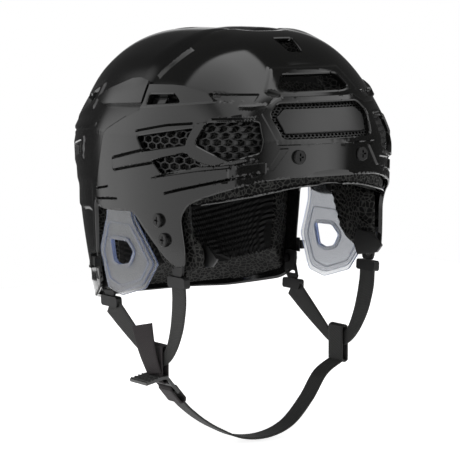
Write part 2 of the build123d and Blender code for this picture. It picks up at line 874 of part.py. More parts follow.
def y_web():
    """Strap of one side: front arm, foot that passes the chin strap's loop, rear arm."""
    front_top = web_point(web_front_y, front_hanger_foot_drop)
    rear_top = web_point(web_rear_y, rear_hanger_foot_drop)
    front_foot = web_point(swing_y - web_foot_half, swing_drop + web_width / 2 + web_notch_clearance)
    rear_foot = web_point(swing_y + web_foot_half, swing_drop + web_width / 2 + web_notch_clearance)
    foot_drop = swing_drop + web_width / 2 + web_notch_clearance + web_foot_lift
    ends = ((front_top, front_foot), (rear_top, rear_foot))
    pieces = [strip(top, foot, web_width, web_narrow_width) for top, foot in ends]
    left = web_point(swing_y - web_foot_half, foot_drop)
    right = web_point(swing_y + web_foot_half, foot_drop)
    pieces.append(strip(left, right, web_foot_width, web_foot_width))
    pieces += [Pos(*foot) * Circle(web_narrow_width / 2) for foot in (front_foot, rear_foot)]
    web = Part() + [web_slab(piece, web_thickness) for piece in pieces]
    reach = web_width / 2 + web_notch_clearance
    notch = rod_x(swing_y, -swing_drop, 0, shell_half_width, reach)
    y_range = (swing_y - reach, swing_y + reach)
    throat = block((0, shell_half_width), y_range, (-swing_drop, reach - swing_drop))
    reach = shell_rear_reach
    front_end = -front_hanger_foot_drop - 2 * seat_gap - slider_height
    rear_end = -rear_hanger_foot_drop - 2 * seat_gap - slider_height
    front_trim = block((0, shell_half_width), (-reach, swing_y), (front_end, 0))
    rear_trim = block((0, shell_half_width), (swing_y, reach), (rear_end, 0))
    return web - [notch, throat, front_trim, rear_trim]


# Chin strap and buckle. They hang in the plane y = swing_y, below the swing axis

def hung(sketch):
    """Front-view sketch made a strap of full width about the swing axis."""
    return extrude(Plane.XZ.offset(-swing_y) * sketch, web_width / 2, dir=(0, 1, 0), both=True)


loop_half_gap = buckle_thickness / 2 + strap_gap
loop_x = web_x(-swing_drop - loop_height / 2)


def loop_sketch(x, drop_from, drop_to):
    """Closed loop of strap round the webbing, seen from the front."""
    height = drop_to - drop_from
    radius = loop_half_gap + web_thickness
    outer = SlotOverall(height, 2 * radius, rotation=90)
    inner = SlotOverall(height - 2 * web_thickness, 2 * loop_half_gap, rotation=90)
    return Pos(x, -(drop_from + drop_to) / 2) * (outer - inner)


upper_bar_drop = swing_drop + loop_height - web_thickness - loop_half_gap - buckle_bar / 2
buckle_x = -loop_x


def right_loop():
    """Loop between the right webbing and the buckle's upper bar."""
    top = swing_drop - web_thickness
    return hung(loop_sketch(-loop_x, top, swing_drop + loop_height))


def buckle_spot():
    """Middle of the buckle's upper bar in the hanging plane."""
    return Pos(buckle_x, swing_y, -upper_bar_drop)


def strap_buckle():
    """Frame of three bars that leans towards the chin, with a ribbed thumb tab beside its upper bar."""
    width = web_width + 2 * buckle_margin
    slot_height = (buckle_height - 3 * buckle_bar) / 2
    slot_offset = (buckle_bar + slot_height) / 2
    slot = Rectangle(web_width + buckle_margin, slot_height)
    outline = Rectangle(width, buckle_height)
    outline -= [Pos(0, slot_offset) * slot, Pos(0, -slot_offset) * slot]
    outline = Pos(0, (buckle_bar - buckle_height) / 2) * outline
    frame = extrude(Plane.YZ.offset(-buckle_thickness / 2) * outline, buckle_thickness, dir=(1, 0, 0))
    return buckle_spot() * (Rot(0, -buckle_lean, 0) * frame + thumb_tab(width))


def thumb_tab(width):
    """Ribbed plate that two ears hold outside the strap round the upper bar."""
    root_x = -loop_half_gap - web_thickness - seat_gap
    half = tab_thickness / 2
    tab = block((-tab_length, 0), (-width / 2, width / 2), (-half, half))
    step = (tab_length - tab_ear) / tab_rib_count
    for index in range(tab_rib_count):
        x = (index + 0.5) * step - tab_length
        tab += block((x - tab_rib / 2, x + tab_rib / 2), (-width / 2, width / 2), (half, half + tab_rib))
    tab = Pos(root_x, 0, 0) * Rot(0, -tab_droop, 0) * tab
    for side in (-1, 1):
        y = side * (width - buckle_margin / 2) / 2
        tab += block((root_x - tab_ear, 0), (y - buckle_margin / 4, y + buckle_margin / 4), (-half, half))
    return tab


def chin_strap():
    """Strap from the buckle's lower bar round the chin to the sewn loop on the left."""
    low_bar_drop = buckle_height - 1.5 * buckle_bar
    lean = math.radians(buckle_lean)
    fold_end = low_bar_drop + fold_length
    fold = Rot(0, 0, buckle_lean) * loop_sketch(0, low_bar_drop - web_thickness - loop_half_gap, fold_end)
    fold = Pos(buckle_x, -upper_bar_drop) * fold
    reach = fold_end - web_thickness / 2
    points = [(buckle_x + reach * math.sin(lean), -upper_bar_drop - reach * math.cos(lean))]
    points += [(share * loop_x, -drop) for share, drop in zip(chin_x_shares, chin_drops)]
    sewn_drop = swing_drop + loop_height
    left_loop = loop_sketch(loop_x, swing_drop - web_thickness, sewn_drop)
    points += [(loop_x, web_thickness / 2 - sewn_drop)]
    return hung(fold + ribbon(points, web_thickness) + left_loop)


def strap_tail():
    """Free end of the strap, standing up beside the loop."""
    half_thick = loop_half_gap + web_thickness + seat_gap
    corner_rise = web_width / 2 * math.sin(math.radians(tail_back_lean))
    base_z = buckle_bar + corner_rise - upper_bar_drop
    base = Pos(-loop_x - half_thick - tail_thickness / 2, swing_y, base_z)
    lean = base * Rot(-tail_back_lean, 0, 0) * Rot(0, -tail_lean, 0)
    return lean * Pos(0, 0, tail_length / 2) * Box(tail_thickness, web_width, tail_length)


# Latches of the rear shell

latch_barrel_radius = latch_pin_radius + latch_pin_clearance + latch_barrel_wall


def latch_pin_place():
    """Pin axis in the latch's frame, clear of the base all round."""
    x = latch_base_thickness - spot_depth + seat_gap + latch_barrel_radius
    y = latch_length / 2 - latch_barrel_radius
    return x, y


def latch_base():
    """Base plate with two ears and the pivot pin, seated in the shell's flat."""
    x, y = latch_pin_place()
    low_x = seat_gap - spot_depth
    y_range = (-latch_length / 2, latch_length / 2)
    plate = block((low_x, latch_base_thickness - spot_depth), y_range, (-latch_height / 2, latch_height / 2))
    for side in (-1, 1):
        z = side * (latch_height - latch_ear) / 2
        z_range = (z - latch_ear / 2, z + latch_ear / 2)
        plate += block((low_x, x + latch_ear), (y - latch_ear, latch_length / 2), z_range)
    plate += Pos(x, y, 0) * Cylinder(latch_pin_radius, latch_height)
    return latch_place() * plate


def latch_lever():
    """Lever that folds flat over the base, with a finger lip in front."""
    x, y = latch_pin_place()
    height = latch_height - 2 * latch_ear - 2 * seat_gap
    low_x = latch_base_thickness - spot_depth + seat_gap
    z_range = (-height / 2, height / 2)
    barrel = Pos(x, y, 0) * Cylinder(latch_barrel_radius, height)
    arm = block((low_x, low_x + latch_lever_thickness), (-latch_length / 2, y), z_range)
    tip_y = -latch_length / 2
    lip = block((low_x, low_x + latch_lever_thickness + latch_lip), (tip_y - latch_lip, tip_y), z_range)
    bore = Pos(x, y, 0) * Cylinder(latch_pin_radius + latch_pin_clearance, latch_height)
    return latch_place() * (barrel + arm + lip - bore)


def temple_tab():
    """Six-sided tab on the inner face of the temple pad, which reaches out ahead of the leg."""
    outer_x = temple_inner_x - seat_gap
    points = [place(pair) for pair in tab_plate_shares]
    return side_prism(points, tab_plate_corner, outer_x - tab_plate_thickness, outer_x)


# All pieces by name

def build():
    outer = dome(0)
    front_inner = dome(front_wall)
    rear_outer = dome(rear_outer_inset)
    rear_inner = dome(rear_inner_inset)
    lattice_outer = dome(lattice_outer_inset)
    lattice_inner = dome(lattice_inner_inset)
    cavity = dome_of(cavity_half_width, cavity_front_reach, cavity_rear_reach, cavity_height)
    pad_blank = dome(pad_outer_inset) - cavity
    grooved_blank = pad_blank - grooves()
    thick_blank = lattice_outer - cavity

    nodes = {
        "front_shell": front_shell(outer, front_inner),
        "rear_shell": rear_shell(rear_outer, rear_inner),
        "brow_lattice": brow_lattice(lattice_outer, lattice_inner),
        "brow_plate": brow_plate(),
        "brow_pad": brow_pad(pad_blank, thick_blank),
        "brow_lip": brow_lip(lattice_outer),
        "crown_pad": crown_pad(pad_blank),
        "nape_pad": nape_pad(grooved_blank),
        "brow_screws": brow_screws(),
        "brow_nuts": brow_nuts(),
        "temple_screws": temple_screws(),
        "temple_nuts": temple_nuts(),
        "hanger_rivets": hanger_rivets(),
        "chin_strap": chin_strap(),
        "strap_loop": right_loop(),
        "strap_tail": strap_tail(),
        "strap_buckle": strap_buckle(),
    }
    handed = {
        "side_lattice": side_lattice(lattice_outer, lattice_inner),
        "side_pad": side_pad(grooved_blank),
        "temple_pad": temple_pad(pad_blank),
        "rear_pad": rear_pad(grooved_blank),
        "ear_guard": ear_guard(),
        "guard_studs": guard_studs(),
        "front_hanger": front_hanger(),
        "rear_hanger": rear_hanger(),
        "front_slider": slider(web_front_y, front_hanger_foot_drop + seat_gap, 0),
        "rear_slider": slider(web_rear_y, rear_hanger_foot_drop + seat_gap, 0),
        "y_web": y_web(),
        "latch_base": latch_base(),
        "latch_lever": latch_lever(),
        "temple_tab": temple_tab(),
    }
    for name, shape in handed.items():
        nodes[name + "_left"] = shape
        pair = isinstance(shape, list)
        nodes[name + "_right"] = [mirrored(piece) for piece in shape] if pair else mirrored(shape)
    return nodes


def write(nodes):
    os.makedirs(parts_folder, exist_ok=True)
    for name, shape in nodes.items():
        whole = Compound(children=shape) if isinstance(shape, list) else shape
        export_step(whole, os.path.join(parts_folder, name + ".step"))


write(build())
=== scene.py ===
import math
import bpy
import numpy as np
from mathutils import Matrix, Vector, geometry


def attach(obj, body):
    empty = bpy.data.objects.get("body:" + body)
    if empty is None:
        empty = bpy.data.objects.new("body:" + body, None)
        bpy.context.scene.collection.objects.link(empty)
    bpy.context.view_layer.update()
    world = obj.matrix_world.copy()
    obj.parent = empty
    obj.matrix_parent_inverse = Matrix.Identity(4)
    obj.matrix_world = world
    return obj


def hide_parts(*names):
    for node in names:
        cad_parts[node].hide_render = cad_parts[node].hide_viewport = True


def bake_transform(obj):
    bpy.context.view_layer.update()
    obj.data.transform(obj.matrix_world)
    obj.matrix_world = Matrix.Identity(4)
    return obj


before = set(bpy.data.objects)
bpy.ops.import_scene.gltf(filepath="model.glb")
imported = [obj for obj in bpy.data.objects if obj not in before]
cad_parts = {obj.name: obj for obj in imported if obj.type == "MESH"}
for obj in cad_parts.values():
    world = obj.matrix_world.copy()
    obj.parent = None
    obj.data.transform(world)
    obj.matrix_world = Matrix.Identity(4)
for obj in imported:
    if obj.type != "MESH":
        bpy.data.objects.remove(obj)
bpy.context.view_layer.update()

# An ice hockey helmet. Lengths in the dictionaries are millimetres in the frame of the solids.
mm = 0.001
print("frame loaded")


# Camera, from the angle of the photograph

cameraView = {
    "azimuth": -34.6, "elevation": 6.65, "distance": 1795, "target": (-3.5, 0, -46.8),
    "lens": 184.1, "sensor": 36, "nearest": 50,
}


def addObject(name, data):
    holder = bpy.data.objects.new(name, data)
    bpy.context.scene.collection.objects.link(holder)
    return holder


def makeCamera(view):
    turn, lift = math.radians(view["azimuth"]), math.radians(view["elevation"])
    toCamera = Vector((math.sin(turn) * math.cos(lift), -math.cos(turn) * math.cos(lift), math.sin(lift)))
    data = bpy.data.cameras.new("photoCamera")
    data.lens = view["lens"]
    data.sensor_width = view["sensor"]
    data.dof.use_dof = False
    data.clip_start = view["nearest"] * mm
    camera = addObject("photoCamera", data)
    camera.location = (Vector(view["target"]) + toCamera * view["distance"]) * mm
    camera.rotation_euler = (-toCamera).to_track_quat("-Z", "Y").to_euler()
    bpy.context.scene.camera = camera


makeCamera(cameraView)


# Node helpers and the groups that several materials share

def newGroup(name, inputs, outputs):
    # Inputs are (label, kind, value), outputs (label, kind)
    group = bpy.data.node_groups.new(name, "ShaderNodeTree")
    for label, kind, value in inputs:
        socket = group.interface.new_socket(name=label, in_out="INPUT", socket_type="NodeSocket" + kind)
        socket.default_value = value
    for label, kind in outputs:
        group.interface.new_socket(name=label, in_out="OUTPUT", socket_type="NodeSocket" + kind)
    start = group.nodes.new("NodeGroupInput")
    end = group.nodes.new("NodeGroupOutput")
    return group, start, end


def feed(tree, node, inputs):
    # Each input takes a link or a plain value
    for socket, source in inputs.items():
        if isinstance(source, bpy.types.NodeSocket):
            tree.links.new(source, node.inputs[socket])
        else:
            node.inputs[socket].default_value = source


def addNode(tree, kind, inputs=None, **settings):
    node = tree.nodes.new(kind)
    for key, value in settings.items():
        setattr(node, key, value)
    feed(tree, node, inputs or {})
    return node


def mathNode(tree, operation, result, *others):
    # More than two values are worked through in their order
    for other in others or (0.0,):
        result = addNode(tree, "ShaderNodeMath", {0: result, 1: other}, operation=operation).outputs[0]
    return result


def noiseNode(tree, place, scale, detail):
    return addNode(tree, "ShaderNodeTexNoise", {"Vector": place, "Scale": scale, "Detail": detail})


def blendColour(tree, factor, first, second):
    # sockets 6, 7 and 2 are the mix node's colours
    return addNode(tree, "ShaderNodeMix", {0: factor, 6: first, 7: second}, data_type="RGBA").outputs[2]


def mouldedGroup(smudge=0.14):
    # Fine skin of moulded plastic: colour drift, uneven gloss and a faint peel
    group, start, end = newGroup(
        "mouldedSkin",
        [("Colour", "Color", (0.02, 0.02, 0.02, 1)), ("Dust", "Color", (0.1, 0.1, 0.1, 1)),
         ("Roughness", "Float", 0.3), ("Grain", "Float", 900.0), ("Drift", "Float", 0.1)],
        [("Colour", "Color"), ("Roughness", "Float"), ("Height", "Float")],
    )
    given = start.outputs
    place = addNode(group, "ShaderNodeTexCoord").outputs["Object"]
    broad = noiseNode(group, place, scale=22.0, detail=4.0).outputs["Fac"]
    fine = noiseNode(group, place, scale=given["Grain"], detail=2.0).outputs["Fac"]
    drift = mathNode(group, "MULTIPLY", broad, given["Drift"])
    uneven = mathNode(group, "MULTIPLY", mathNode(group, "SUBTRACT", broad, 0.5), smudge)
    feed(group, end, {
        "Colour": blendColour(group, drift, given["Colour"], given["Dust"]),
        "Roughness": mathNode(group, "ADD", given["Roughness"], uneven),
        "Height": fine,
    })
    return group


def cellsGroup():
    # Open cell pattern of the liner: pale webs, with the pits between them painted dark as shade
    group, start, end = newGroup(
        "cellsPitShade",
        [("Web", "Color", (0.05, 0.05, 0.05, 1)), ("Pit", "Color", (0.005, 0.005, 0.005, 1)),
         ("Scale", "Float", 260.0), ("Width", "Float", 0.12), ("Warp", "Float", 0.004)],
        [("Colour", "Color"), ("Height", "Float")],
    )
    given = start.outputs
    place = addNode(group, "ShaderNodeTexCoord").outputs["Object"]
    noise = noiseNode(group, place, scale=60.0, detail=1.0)
    warp = {0: noise.outputs["Color"], "Scale": given["Warp"]}
    shift = addNode(group, "ShaderNodeVectorMath", warp, operation="SCALE")
    moved = addNode(group, "ShaderNodeVectorMath", {0: place, 1: shift.outputs[0]}, operation="ADD")
    cells = addNode(group, "ShaderNodeTexVoronoi", {"Vector": moved.outputs[0], "Scale": given["Scale"]},
                    feature="DISTANCE_TO_EDGE")
    span = {"From Min": 0.0, "From Max": given["Width"], "To Min": 1.0, "To Max": 0.0}
    web = addNode(group, "ShaderNodeMapRange", {"Value": cells.outputs["Distance"], **span},
                  interpolation_type="SMOOTHSTEP").outputs[0]
    # the pit colour is painted shade inside the cells; the web height is real relief
    feed(group, end, {"Colour": blendColour(group, web, given["Pit"], given["Web"]), "Height": web})
    return group


def weaveGroup(ground=1.4, rise=0.4, shade=0.42):
    # Webbing: ribs along the strap crossed by fine picks, on the strap's own UV map in millimetres; the gaps between
    # the yarns are painted dark as shade
    group, start, end = newGroup(
        "strapWeave",
        [("Yarn", "Color", (0.03, 0.03, 0.03, 1)), ("GapShade", "Color", (0.006, 0.006, 0.006, 1)),
         ("Pitch", "Float", 1.1), ("Fuzz", "Float", 0.4)],
        [("Colour", "Color"), ("Height", "Float")],
    )
    given = start.outputs
    place = addNode(group, "ShaderNodeTexCoord").outputs
    split = addNode(group, "ShaderNodeSeparateXYZ", {0: place["UV"]}).outputs
    turn = mathNode(group, "DIVIDE", math.tau, given["Pitch"])
    along = mathNode(group, "SINE", mathNode(group, "MULTIPLY", split["X"], turn))
    wave = mathNode(group, "SINE", mathNode(group, "MULTIPLY", split["Y"], turn, 0.5))
    crossed = mathNode(group, "MULTIPLY", along, mathNode(group, "SIGN", wave))
    twill = mathNode(group, "MULTIPLY", mathNode(group, "ADD", crossed, ground), mathNode(group, "ABSOLUTE", wave))
    noise = noiseNode(group, place["Object"], scale=1500.0, detail=3.0)
    fuzz = mathNode(group, "MULTIPLY", noise.outputs["Fac"], given["Fuzz"])
    feed(group, end, {
        # the colour runs from painted shade in the gaps to the yarn colour on the ribs
        "Colour": blendColour(group, mathNode(group, "MULTIPLY", twill, shade), given["GapShade"], given["Yarn"]),
        "Height": mathNode(group, "ADD", mathNode(group, "MULTIPLY", twill, rise), fuzz),
    })
    return group


skinGroup = mouldedGroup()
cellGroup = cellsGroup()
strapGroup = weaveGroup()


def startMaterial(name):
    material = bpy.data.materials.new(name)
    material.use_nodes = True
    return material, material.node_tree, material.node_tree.nodes["Principled BSDF"]


def groupMaterial(name, group, inputs, sockets, strength, depth):
    # Colour and height come from a shared group, and so does roughness where it gives one
    material, tree, shader = startMaterial(name)
    skin = addNode(tree, "ShaderNodeGroup", inputs, node_tree=group).outputs
    bump = addNode(tree, "ShaderNodeBump", {"Height": skin["Height"], "Strength": strength, "Distance": depth})
    feed(tree, shader, {"Base Color": skin["Colour"], "Normal": bump.outputs["Normal"], **sockets})
    if "Roughness" in skin:
        feed(tree, shader, {"Roughness": skin["Roughness"]})
    return material


def moulded(name, colour, dust, roughness, grain=1400.0, drift=0.1, bump=0.12, **sockets):
    inputs = {"Colour": (*colour, 1), "Dust": (*dust, 1), "Roughness": roughness, "Grain": grain, "Drift": drift}
    sockets = {socket.replace("_", " "): value for socket, value in sockets.items()}
    return groupMaterial(name, skinGroup, inputs, sockets, strength=bump, depth=0.0001)


def grey(level):
    return level, level, level


def cellsPitShade(name, web, pit, scale, width, bump, roughness):
    # pit is the colour painted into the cells as shade
    inputs = {"Web": (*web, 1), "Pit": (*pit, 1), "Scale": scale, "Width": width}
    sockets = {"Roughness": roughness, "Specular IOR Level": 0.1}
    return groupMaterial(name, cellGroup, inputs, sockets, strength=bump, depth=0.0006)


def woven(name, yarn, gapShade, pitch):
    # gapShade is the colour painted into the gaps between the yarns as shade
    inputs = {"Yarn": (*yarn, 1), "GapShade": (*gapShade, 1), "Pitch": pitch}
    sockets = {"Roughness": 0.75, "Sheen Weight": 0.1, "Sheen Roughness": 0.4}
    return groupMaterial(name, strapGroup, inputs, sockets, strength=0.5, depth=0.0003)


def clearPlastic(name, tint, roughness, clearness):
    dust = [0.9 * part for part in tint]
    inputs = {"Colour": (*tint, 1), "Dust": (*dust, 1), "Roughness": roughness, "Grain": 300.0}
    sockets = {"Transmission Weight": clearness, "IOR": 1.45}
    return groupMaterial(name, skinGroup, inputs, sockets, strength=0.04, depth=0.0002)


finishes = {
    "shell": moulded("shellGloss", (0.0075, 0.0075, 0.0072), (0.011, 0.011, 0.0105), 0.1, drift=0.04, bump=0.012),
    "rearShell": moulded("rearShellGloss", grey(0.0065), grey(0.01), 0.13, drift=0.04, bump=0.012),
    "lattice": moulded("latticePlastic", grey(0.012), grey(0.02), 0.35, Specular_IOR_Level=0.35),
    "liner": moulded("linerFoam", grey(0.004), grey(0.009), 0.6, grain=900.0, bump=0.1, Specular_IOR_Level=0.2),
    # the second colour is painted shade in the cell pits
    "linerCells": cellsPitShade("linerCellsPitShade", (0.06, 0.06, 0.057), grey(0.001), 300.0, width=0.15, bump=0.4,
                            roughness=0.5),
    "lip": moulded("lipGloss", grey(0.012), grey(0.02), 0.16, Coat_Weight=0.5),
    "screw": moulded("screwBlack", grey(0.005), grey(0.012), 0.16, Specular_IOR_Level=0.2),
    # each weave's second colour is painted shade between the yarns
    "webbing": woven("webbingWeave", (0.03, 0.03, 0.028), grey(0.006), pitch=1.3),
    "tailWebbing": woven("strapEndWeave", (0.024, 0.018, 0.019), (0.006, 0.004, 0.005), pitch=1.1),
    "fitting": moulded("fittingPlastic", grey(0.012), grey(0.03), 0.45, Specular_IOR_Level=0.2),
    "buckle": moulded("bucklePlastic", grey(0.03), grey(0.06), 0.35),
    "tab": moulded("tabPlastic", grey(0.008), grey(0.03), 0.3),
    "clear": clearPlastic("clearGuard", (0.7, 0.71, 0.73), roughness=0.1, clearness=0.94),
    "guardEdge": clearPlastic("guardEdge", (0.35, 0.46, 0.85), roughness=0.08, clearness=0.7),
}
print("materials made")


# Shell surface: rounded sections under a crown, as in the solids

shellForm = {
    "halfWidth": 104.0, "front": 124.0, "rear": 149.0, "crown": 108.5, "widest": 30.0, "rimDepth": 100.0,
    "sectionPower": 2.4, "crownPower": 3.5, "sideDraw": 0.03, "rearDraw": 0.13, "almostTop": 0.999999,
    "centre": (0.0, 10.0, 10.0), "rays": (5.0, 320.0), "flatScale": 100, "probe": 0.05,
    "rearInset": 3.9, "rearWall": 2.6, "padInset": 6.8, "cavity": (80.0, 99.0, 112.0, 85.0),
}


def shellSizes(inset):
    return [shellForm[key] - inset for key in ("halfWidth", "front", "rear", "crown")]


def sectionAt(z, sizes):
    halfWidth, front, rear, top = sizes
    widest = shellForm["widest"]
    rise = (1 - np.clip((z - widest) / (top - widest), 0, shellForm["almostTop"])) ** (1 / shellForm["crownPower"])
    drop = np.clip((widest - z) / shellForm["rimDepth"], 0, None)
    width = np.where(z > widest, rise, 1 - shellForm["sideDraw"] * drop ** 2)
    back = np.where(z > widest, rise, 1 - shellForm["rearDraw"] * drop ** 2)
    return halfWidth * width, front * width, rear * back


def fullness(points, sizes):
    # 1 on the surface, more outside it
    across, front, rear = sectionAt(points[:, 2], sizes)
    along = np.where(points[:, 1] < 0, front, rear)
    power = shellForm["sectionPower"]
    value = (np.abs(points[:, 0]) / across) ** power + (np.abs(points[:, 1]) / along) ** power
    farOut = 9.0  # above the crown
    return np.where(points[:, 2] >= sizes[3], farOut, value)


def unit(rows):
    return rows / np.maximum(np.linalg.norm(rows, axis=1), 1e-9)[:, None]


def lastInside(low, high, spotsAt, sizes, halvings):
    # Spans halved until they close on the surface from the inside
    for _ in range(halvings):
        middle = (low + high) / 2
        outside = fullness(spotsAt(middle), sizes) > 1
        high = np.where(outside, middle, high)
        low = np.where(outside, low, middle)
    return spotsAt(low)


def onSurface(directions, sizes):
    centre = np.array(shellForm["centre"])
    near, far = (np.full(len(directions), reach) for reach in shellForm["rays"])
    return lastInside(near, far, lambda reach: centre + directions * reach[:, None], sizes, halvings=34)


def directionsOf(points):
    return unit(points - np.array(shellForm["centre"]))


def flatten(directions):
    # Map of the directions seen from the crown, so that loops can be cut in two dimensions
    fall = np.arccos(np.clip(directions[:, 2], -1, 1))
    turn = np.arctan2(directions[:, 1], directions[:, 0])
    return np.stack([fall * np.cos(turn), fall * np.sin(turn)], 1) * shellForm["flatScale"]


def unflatten(flat):
    fall = np.hypot(flat[:, 0], flat[:, 1]) / shellForm["flatScale"]
    turn = np.arctan2(flat[:, 1], flat[:, 0])
    return np.stack([np.sin(fall) * np.cos(turn), np.sin(fall) * np.sin(turn), np.cos(fall)], 1)


def faceNormals(points, sizes):
    lean = []
    for axis in range(3):
        step = np.zeros(3)
        step[axis] = shellForm["probe"]
        lean.append(fullness(points + step, sizes) - fullness(points - step, sizes))
    return unit(np.stack(lean, 1))


# Lines on the surface

def roundCorners(points, radius, closed=True, steps=5, most=0.45):
    # Each corner of an outline replaced by a short smooth bend, up to a share of each side
    result = []
    count = len(points)
    for index, corner in enumerate(points):
        corner = np.array(corner, float)
        if not closed and index in (0, count - 1):
            result.append(corner)
            continue
        runs = [np.array(points[other], float) - corner for other in (index - 1, (index + 1) % count)]
        lengths = [np.linalg.norm(run) for run in runs]
        reach = min(radius, most * lengths[0], most * lengths[1])
        start, end = (corner + run / length * reach for run, length in zip(runs, lengths))
        for step in range(steps + 1):
            share = step / steps
            result.append((1 - share) ** 2 * start + 2 * share * (1 - share) * corner + share ** 2 * end)
    return np.array(result)


def dense(points, spacing, closed=True):
    # Extra points along an outline, at most spacing apart
    points = np.array(points, float)
    ends = np.roll(points, -1, axis=0) if closed else points[1:]
    result = []
    for start, end in zip(points, ends):
        count = max(1, int(math.ceil(np.linalg.norm(end - start) / spacing)))
        for step in range(count):
            result.append(start + (end - start) * step / count)
    if not closed:
        result.append(points[-1])
    return np.array(result)


def smoothLine(points, corner, spacing, closed=True):
    return dense(roundCorners(points, corner, closed), spacing, closed)


def sideLine(pairs, sizes, side=1):
    # Side-view line (y, z) laid on the surface; what runs past the outline ends on the middle plane
    pairs = np.asarray(pairs, float)
    across, front, rear = sectionAt(pairs[:, 1], sizes)
    along = np.where(pairs[:, 0] < 0, front, rear)
    power = shellForm["sectionPower"]
    room = 1 - (np.abs(pairs[:, 0]) / along) ** power
    room[pairs[:, 1] >= sizes[3]] = -1
    inside = room > 0
    x = across * np.clip(room, 0, None) ** (1 / power)
    line = np.stack([x * side, pairs[:, 0], pairs[:, 1]], 1)
    return line[inside], inside


def frontLine(pairs, sizes, atRear=False):
    # Front-view line (x, z) laid on the front of the surface, or on its rear
    pairs = np.asarray(pairs, float)
    across, front, rear = sectionAt(pairs[:, 1], sizes)
    power = shellForm["sectionPower"]
    reach = rear if atRear else -front
    y = reach * np.clip(1 - (np.abs(pairs[:, 0]) / across) ** power, 0, None) ** (1 / power)
    return np.stack([pairs[:, 0], y, pairs[:, 1]], 1)


def planLine(pairs, sizes):
    # Plan-view line (x, y) dropped on the crown
    pairs = np.asarray(pairs, float)
    low, high = (np.full(len(pairs), level) for level in (shellForm["widest"], sizes[3]))
    return lastInside(low, high, lambda level: np.column_stack([pairs, level]), sizes, halvings=30)


def bothSides(half):
    # Loop of a half that starts and ends near the middle plane
    other = half[::-1] * np.array([-1, 1, 1])
    return np.concatenate([half, other])


# Panels: a skin cut to loops, with relief, rolled edges and a wall

def insideLoop(flat, loop):
    inside = np.zeros(len(flat), bool)
    x, y = flat.T
    for (x1, y1), (x2, y2) in zip(loop, np.roll(loop, -1, axis=0)):
        if y1 != y2:
            inside ^= ((y < y1) != (y < y2)) & (x < (x2 - x1) * (y - y1) / (y2 - y1) + x1)
    return inside


def insidePanel(flat, loops):
    # Inside the first loop and in none of the others
    inside = insideLoop(flat, loops[0])
    for loop in loops[1:]:
        inside &= ~insideLoop(flat, loop)
    return inside


def lineDistance(points, line, closed):
    best = np.full(len(points), 1e9)
    ends = np.roll(line, -1, axis=0) if closed else line[1:]
    for start, end in zip(line, ends):
        run = end - start
        length = max(1e-9, float(run @ run))
        share = np.clip(((points - start) @ run) / length, 0, 1)
        best = np.minimum(best, np.linalg.norm(points - start - share[:, None] * run, axis=1))
    return best


def depthIn(flat, loop):
    # Distance to a loop, negative outside it
    return lineDistance(flat, loop, True) * np.where(insideLoop(flat, loop), 1, -1)


def cellOf(point, cell):
    return int(point[0] // cell), int(point[1] // cell)


def nearTable(points, cell):
    table = {}
    for point in points:
        table.setdefault(cellOf(point, cell), []).append(point)
    return table


def tooNear(point, table, cell):
    column, row = cellOf(point, cell)
    for i in (column - 1, column, column + 1):
        for j in (row - 1, row, row + 1):
            for other in table.get((i, j), ()):
                if (other[0] - point[0]) ** 2 + (other[1] - point[1]) ** 2 < cell * cell:
                    return True
    return False


def turnSign(flat):
    # 1 where a loop runs anticlockwise
    area = np.sum(flat[:, 0] * np.roll(flat[:, 1], -1) - np.roll(flat[:, 0], -1) * flat[:, 1])
    return 1 if area > 0 else -1


def aheadOf(loop):
    return unit(np.roll(loop, -1, axis=0) - np.roll(loop, 1, axis=0))


def offsetLoop(loop, sizes, distance):
    return loop + np.cross(faceNormals(loop, sizes), aheadOf(loop)) * distance


def vertexNormals(points, faces):
    corners = points[faces]
    cross = np.cross(corners[:, 1] - corners[:, 0], corners[:, 2] - corners[:, 0])
    total = np.zeros_like(points)
    for corner in range(3):
        np.add.at(total, faces[:, corner], cross)
    return unit(total)


meshing = {
    "rings": (0.3, 0.7, 1.2), "ringShare": 0.9,  # extra points beside each loop
    "merge": 0.3, "same": 1e-5,
    "apart": 0.7, "rowShare": 0.866,  # shares of the spacing
}


def triangulate(loops, sizes, spacing, features):
    # Loops come as points on the surface; the first is the outside
    flatLoops = [flatten(directionsOf(loop)) for loop in loops]
    verts, edges = [], []
    for flat in flatLoops:
        base = len(verts)
        verts += [tuple(point) for point in flat]
        edges += [(base + i, base + (i + 1) % len(flat)) for i in range(len(flat))]
    fill = []
    for number, (loop, flat) in enumerate(zip(loops, flatLoops)):
        sign = turnSign(flat) * (1 if number == 0 else -1)
        for distance in meshing["rings"]:
            shifted = offsetLoop(loop, sizes, sign * distance)
            clear = lineDistance(shifted, loop, True) > meshing["ringShare"] * distance
            fill.append(flatten(directionsOf(shifted[clear])))
    for line in features:
        fill.append(flatten(directionsOf(line)))
    merge = meshing["merge"]
    kept, table = [], nearTable(verts, merge)
    for point in np.concatenate(fill):
        if not tooNear(point, table, merge):
            kept.append(tuple(point))
            table.setdefault(cellOf(point, merge), []).append(point)
    low, high = flatLoops[0].min(0), flatLoops[0].max(0)
    apart, rowShare = spacing * meshing["apart"], meshing["rowShare"]
    table = nearTable(verts + kept, apart)
    for row in range(int((high[1] - low[1]) / (spacing * rowShare)) + 1):
        for column in range(int((high[0] - low[0]) / spacing) + 1):
            point = (low[0] + (column + 0.5 * (row % 2)) * spacing, low[1] + row * spacing * rowShare)
            if not tooNear(point, table, apart):
                kept.append(point)
    kept = np.array(kept)
    everything = [Vector(point) for point in [*verts, *kept[insidePanel(kept, flatLoops)]]]
    points, _, faces, *_ = geometry.delaunay_2d_cdt(everything, edges, [], 0, meshing["same"])
    points = np.array([tuple(point) for point in points])
    faces = np.array([face for face in faces if len(face) == 3])
    faces = faces[insidePanel(points[faces].mean(1), flatLoops)]
    used = np.unique(faces)
    renumber = np.full(len(points), -1)
    renumber[used] = np.arange(len(used))
    return points[used], renumber[faces]


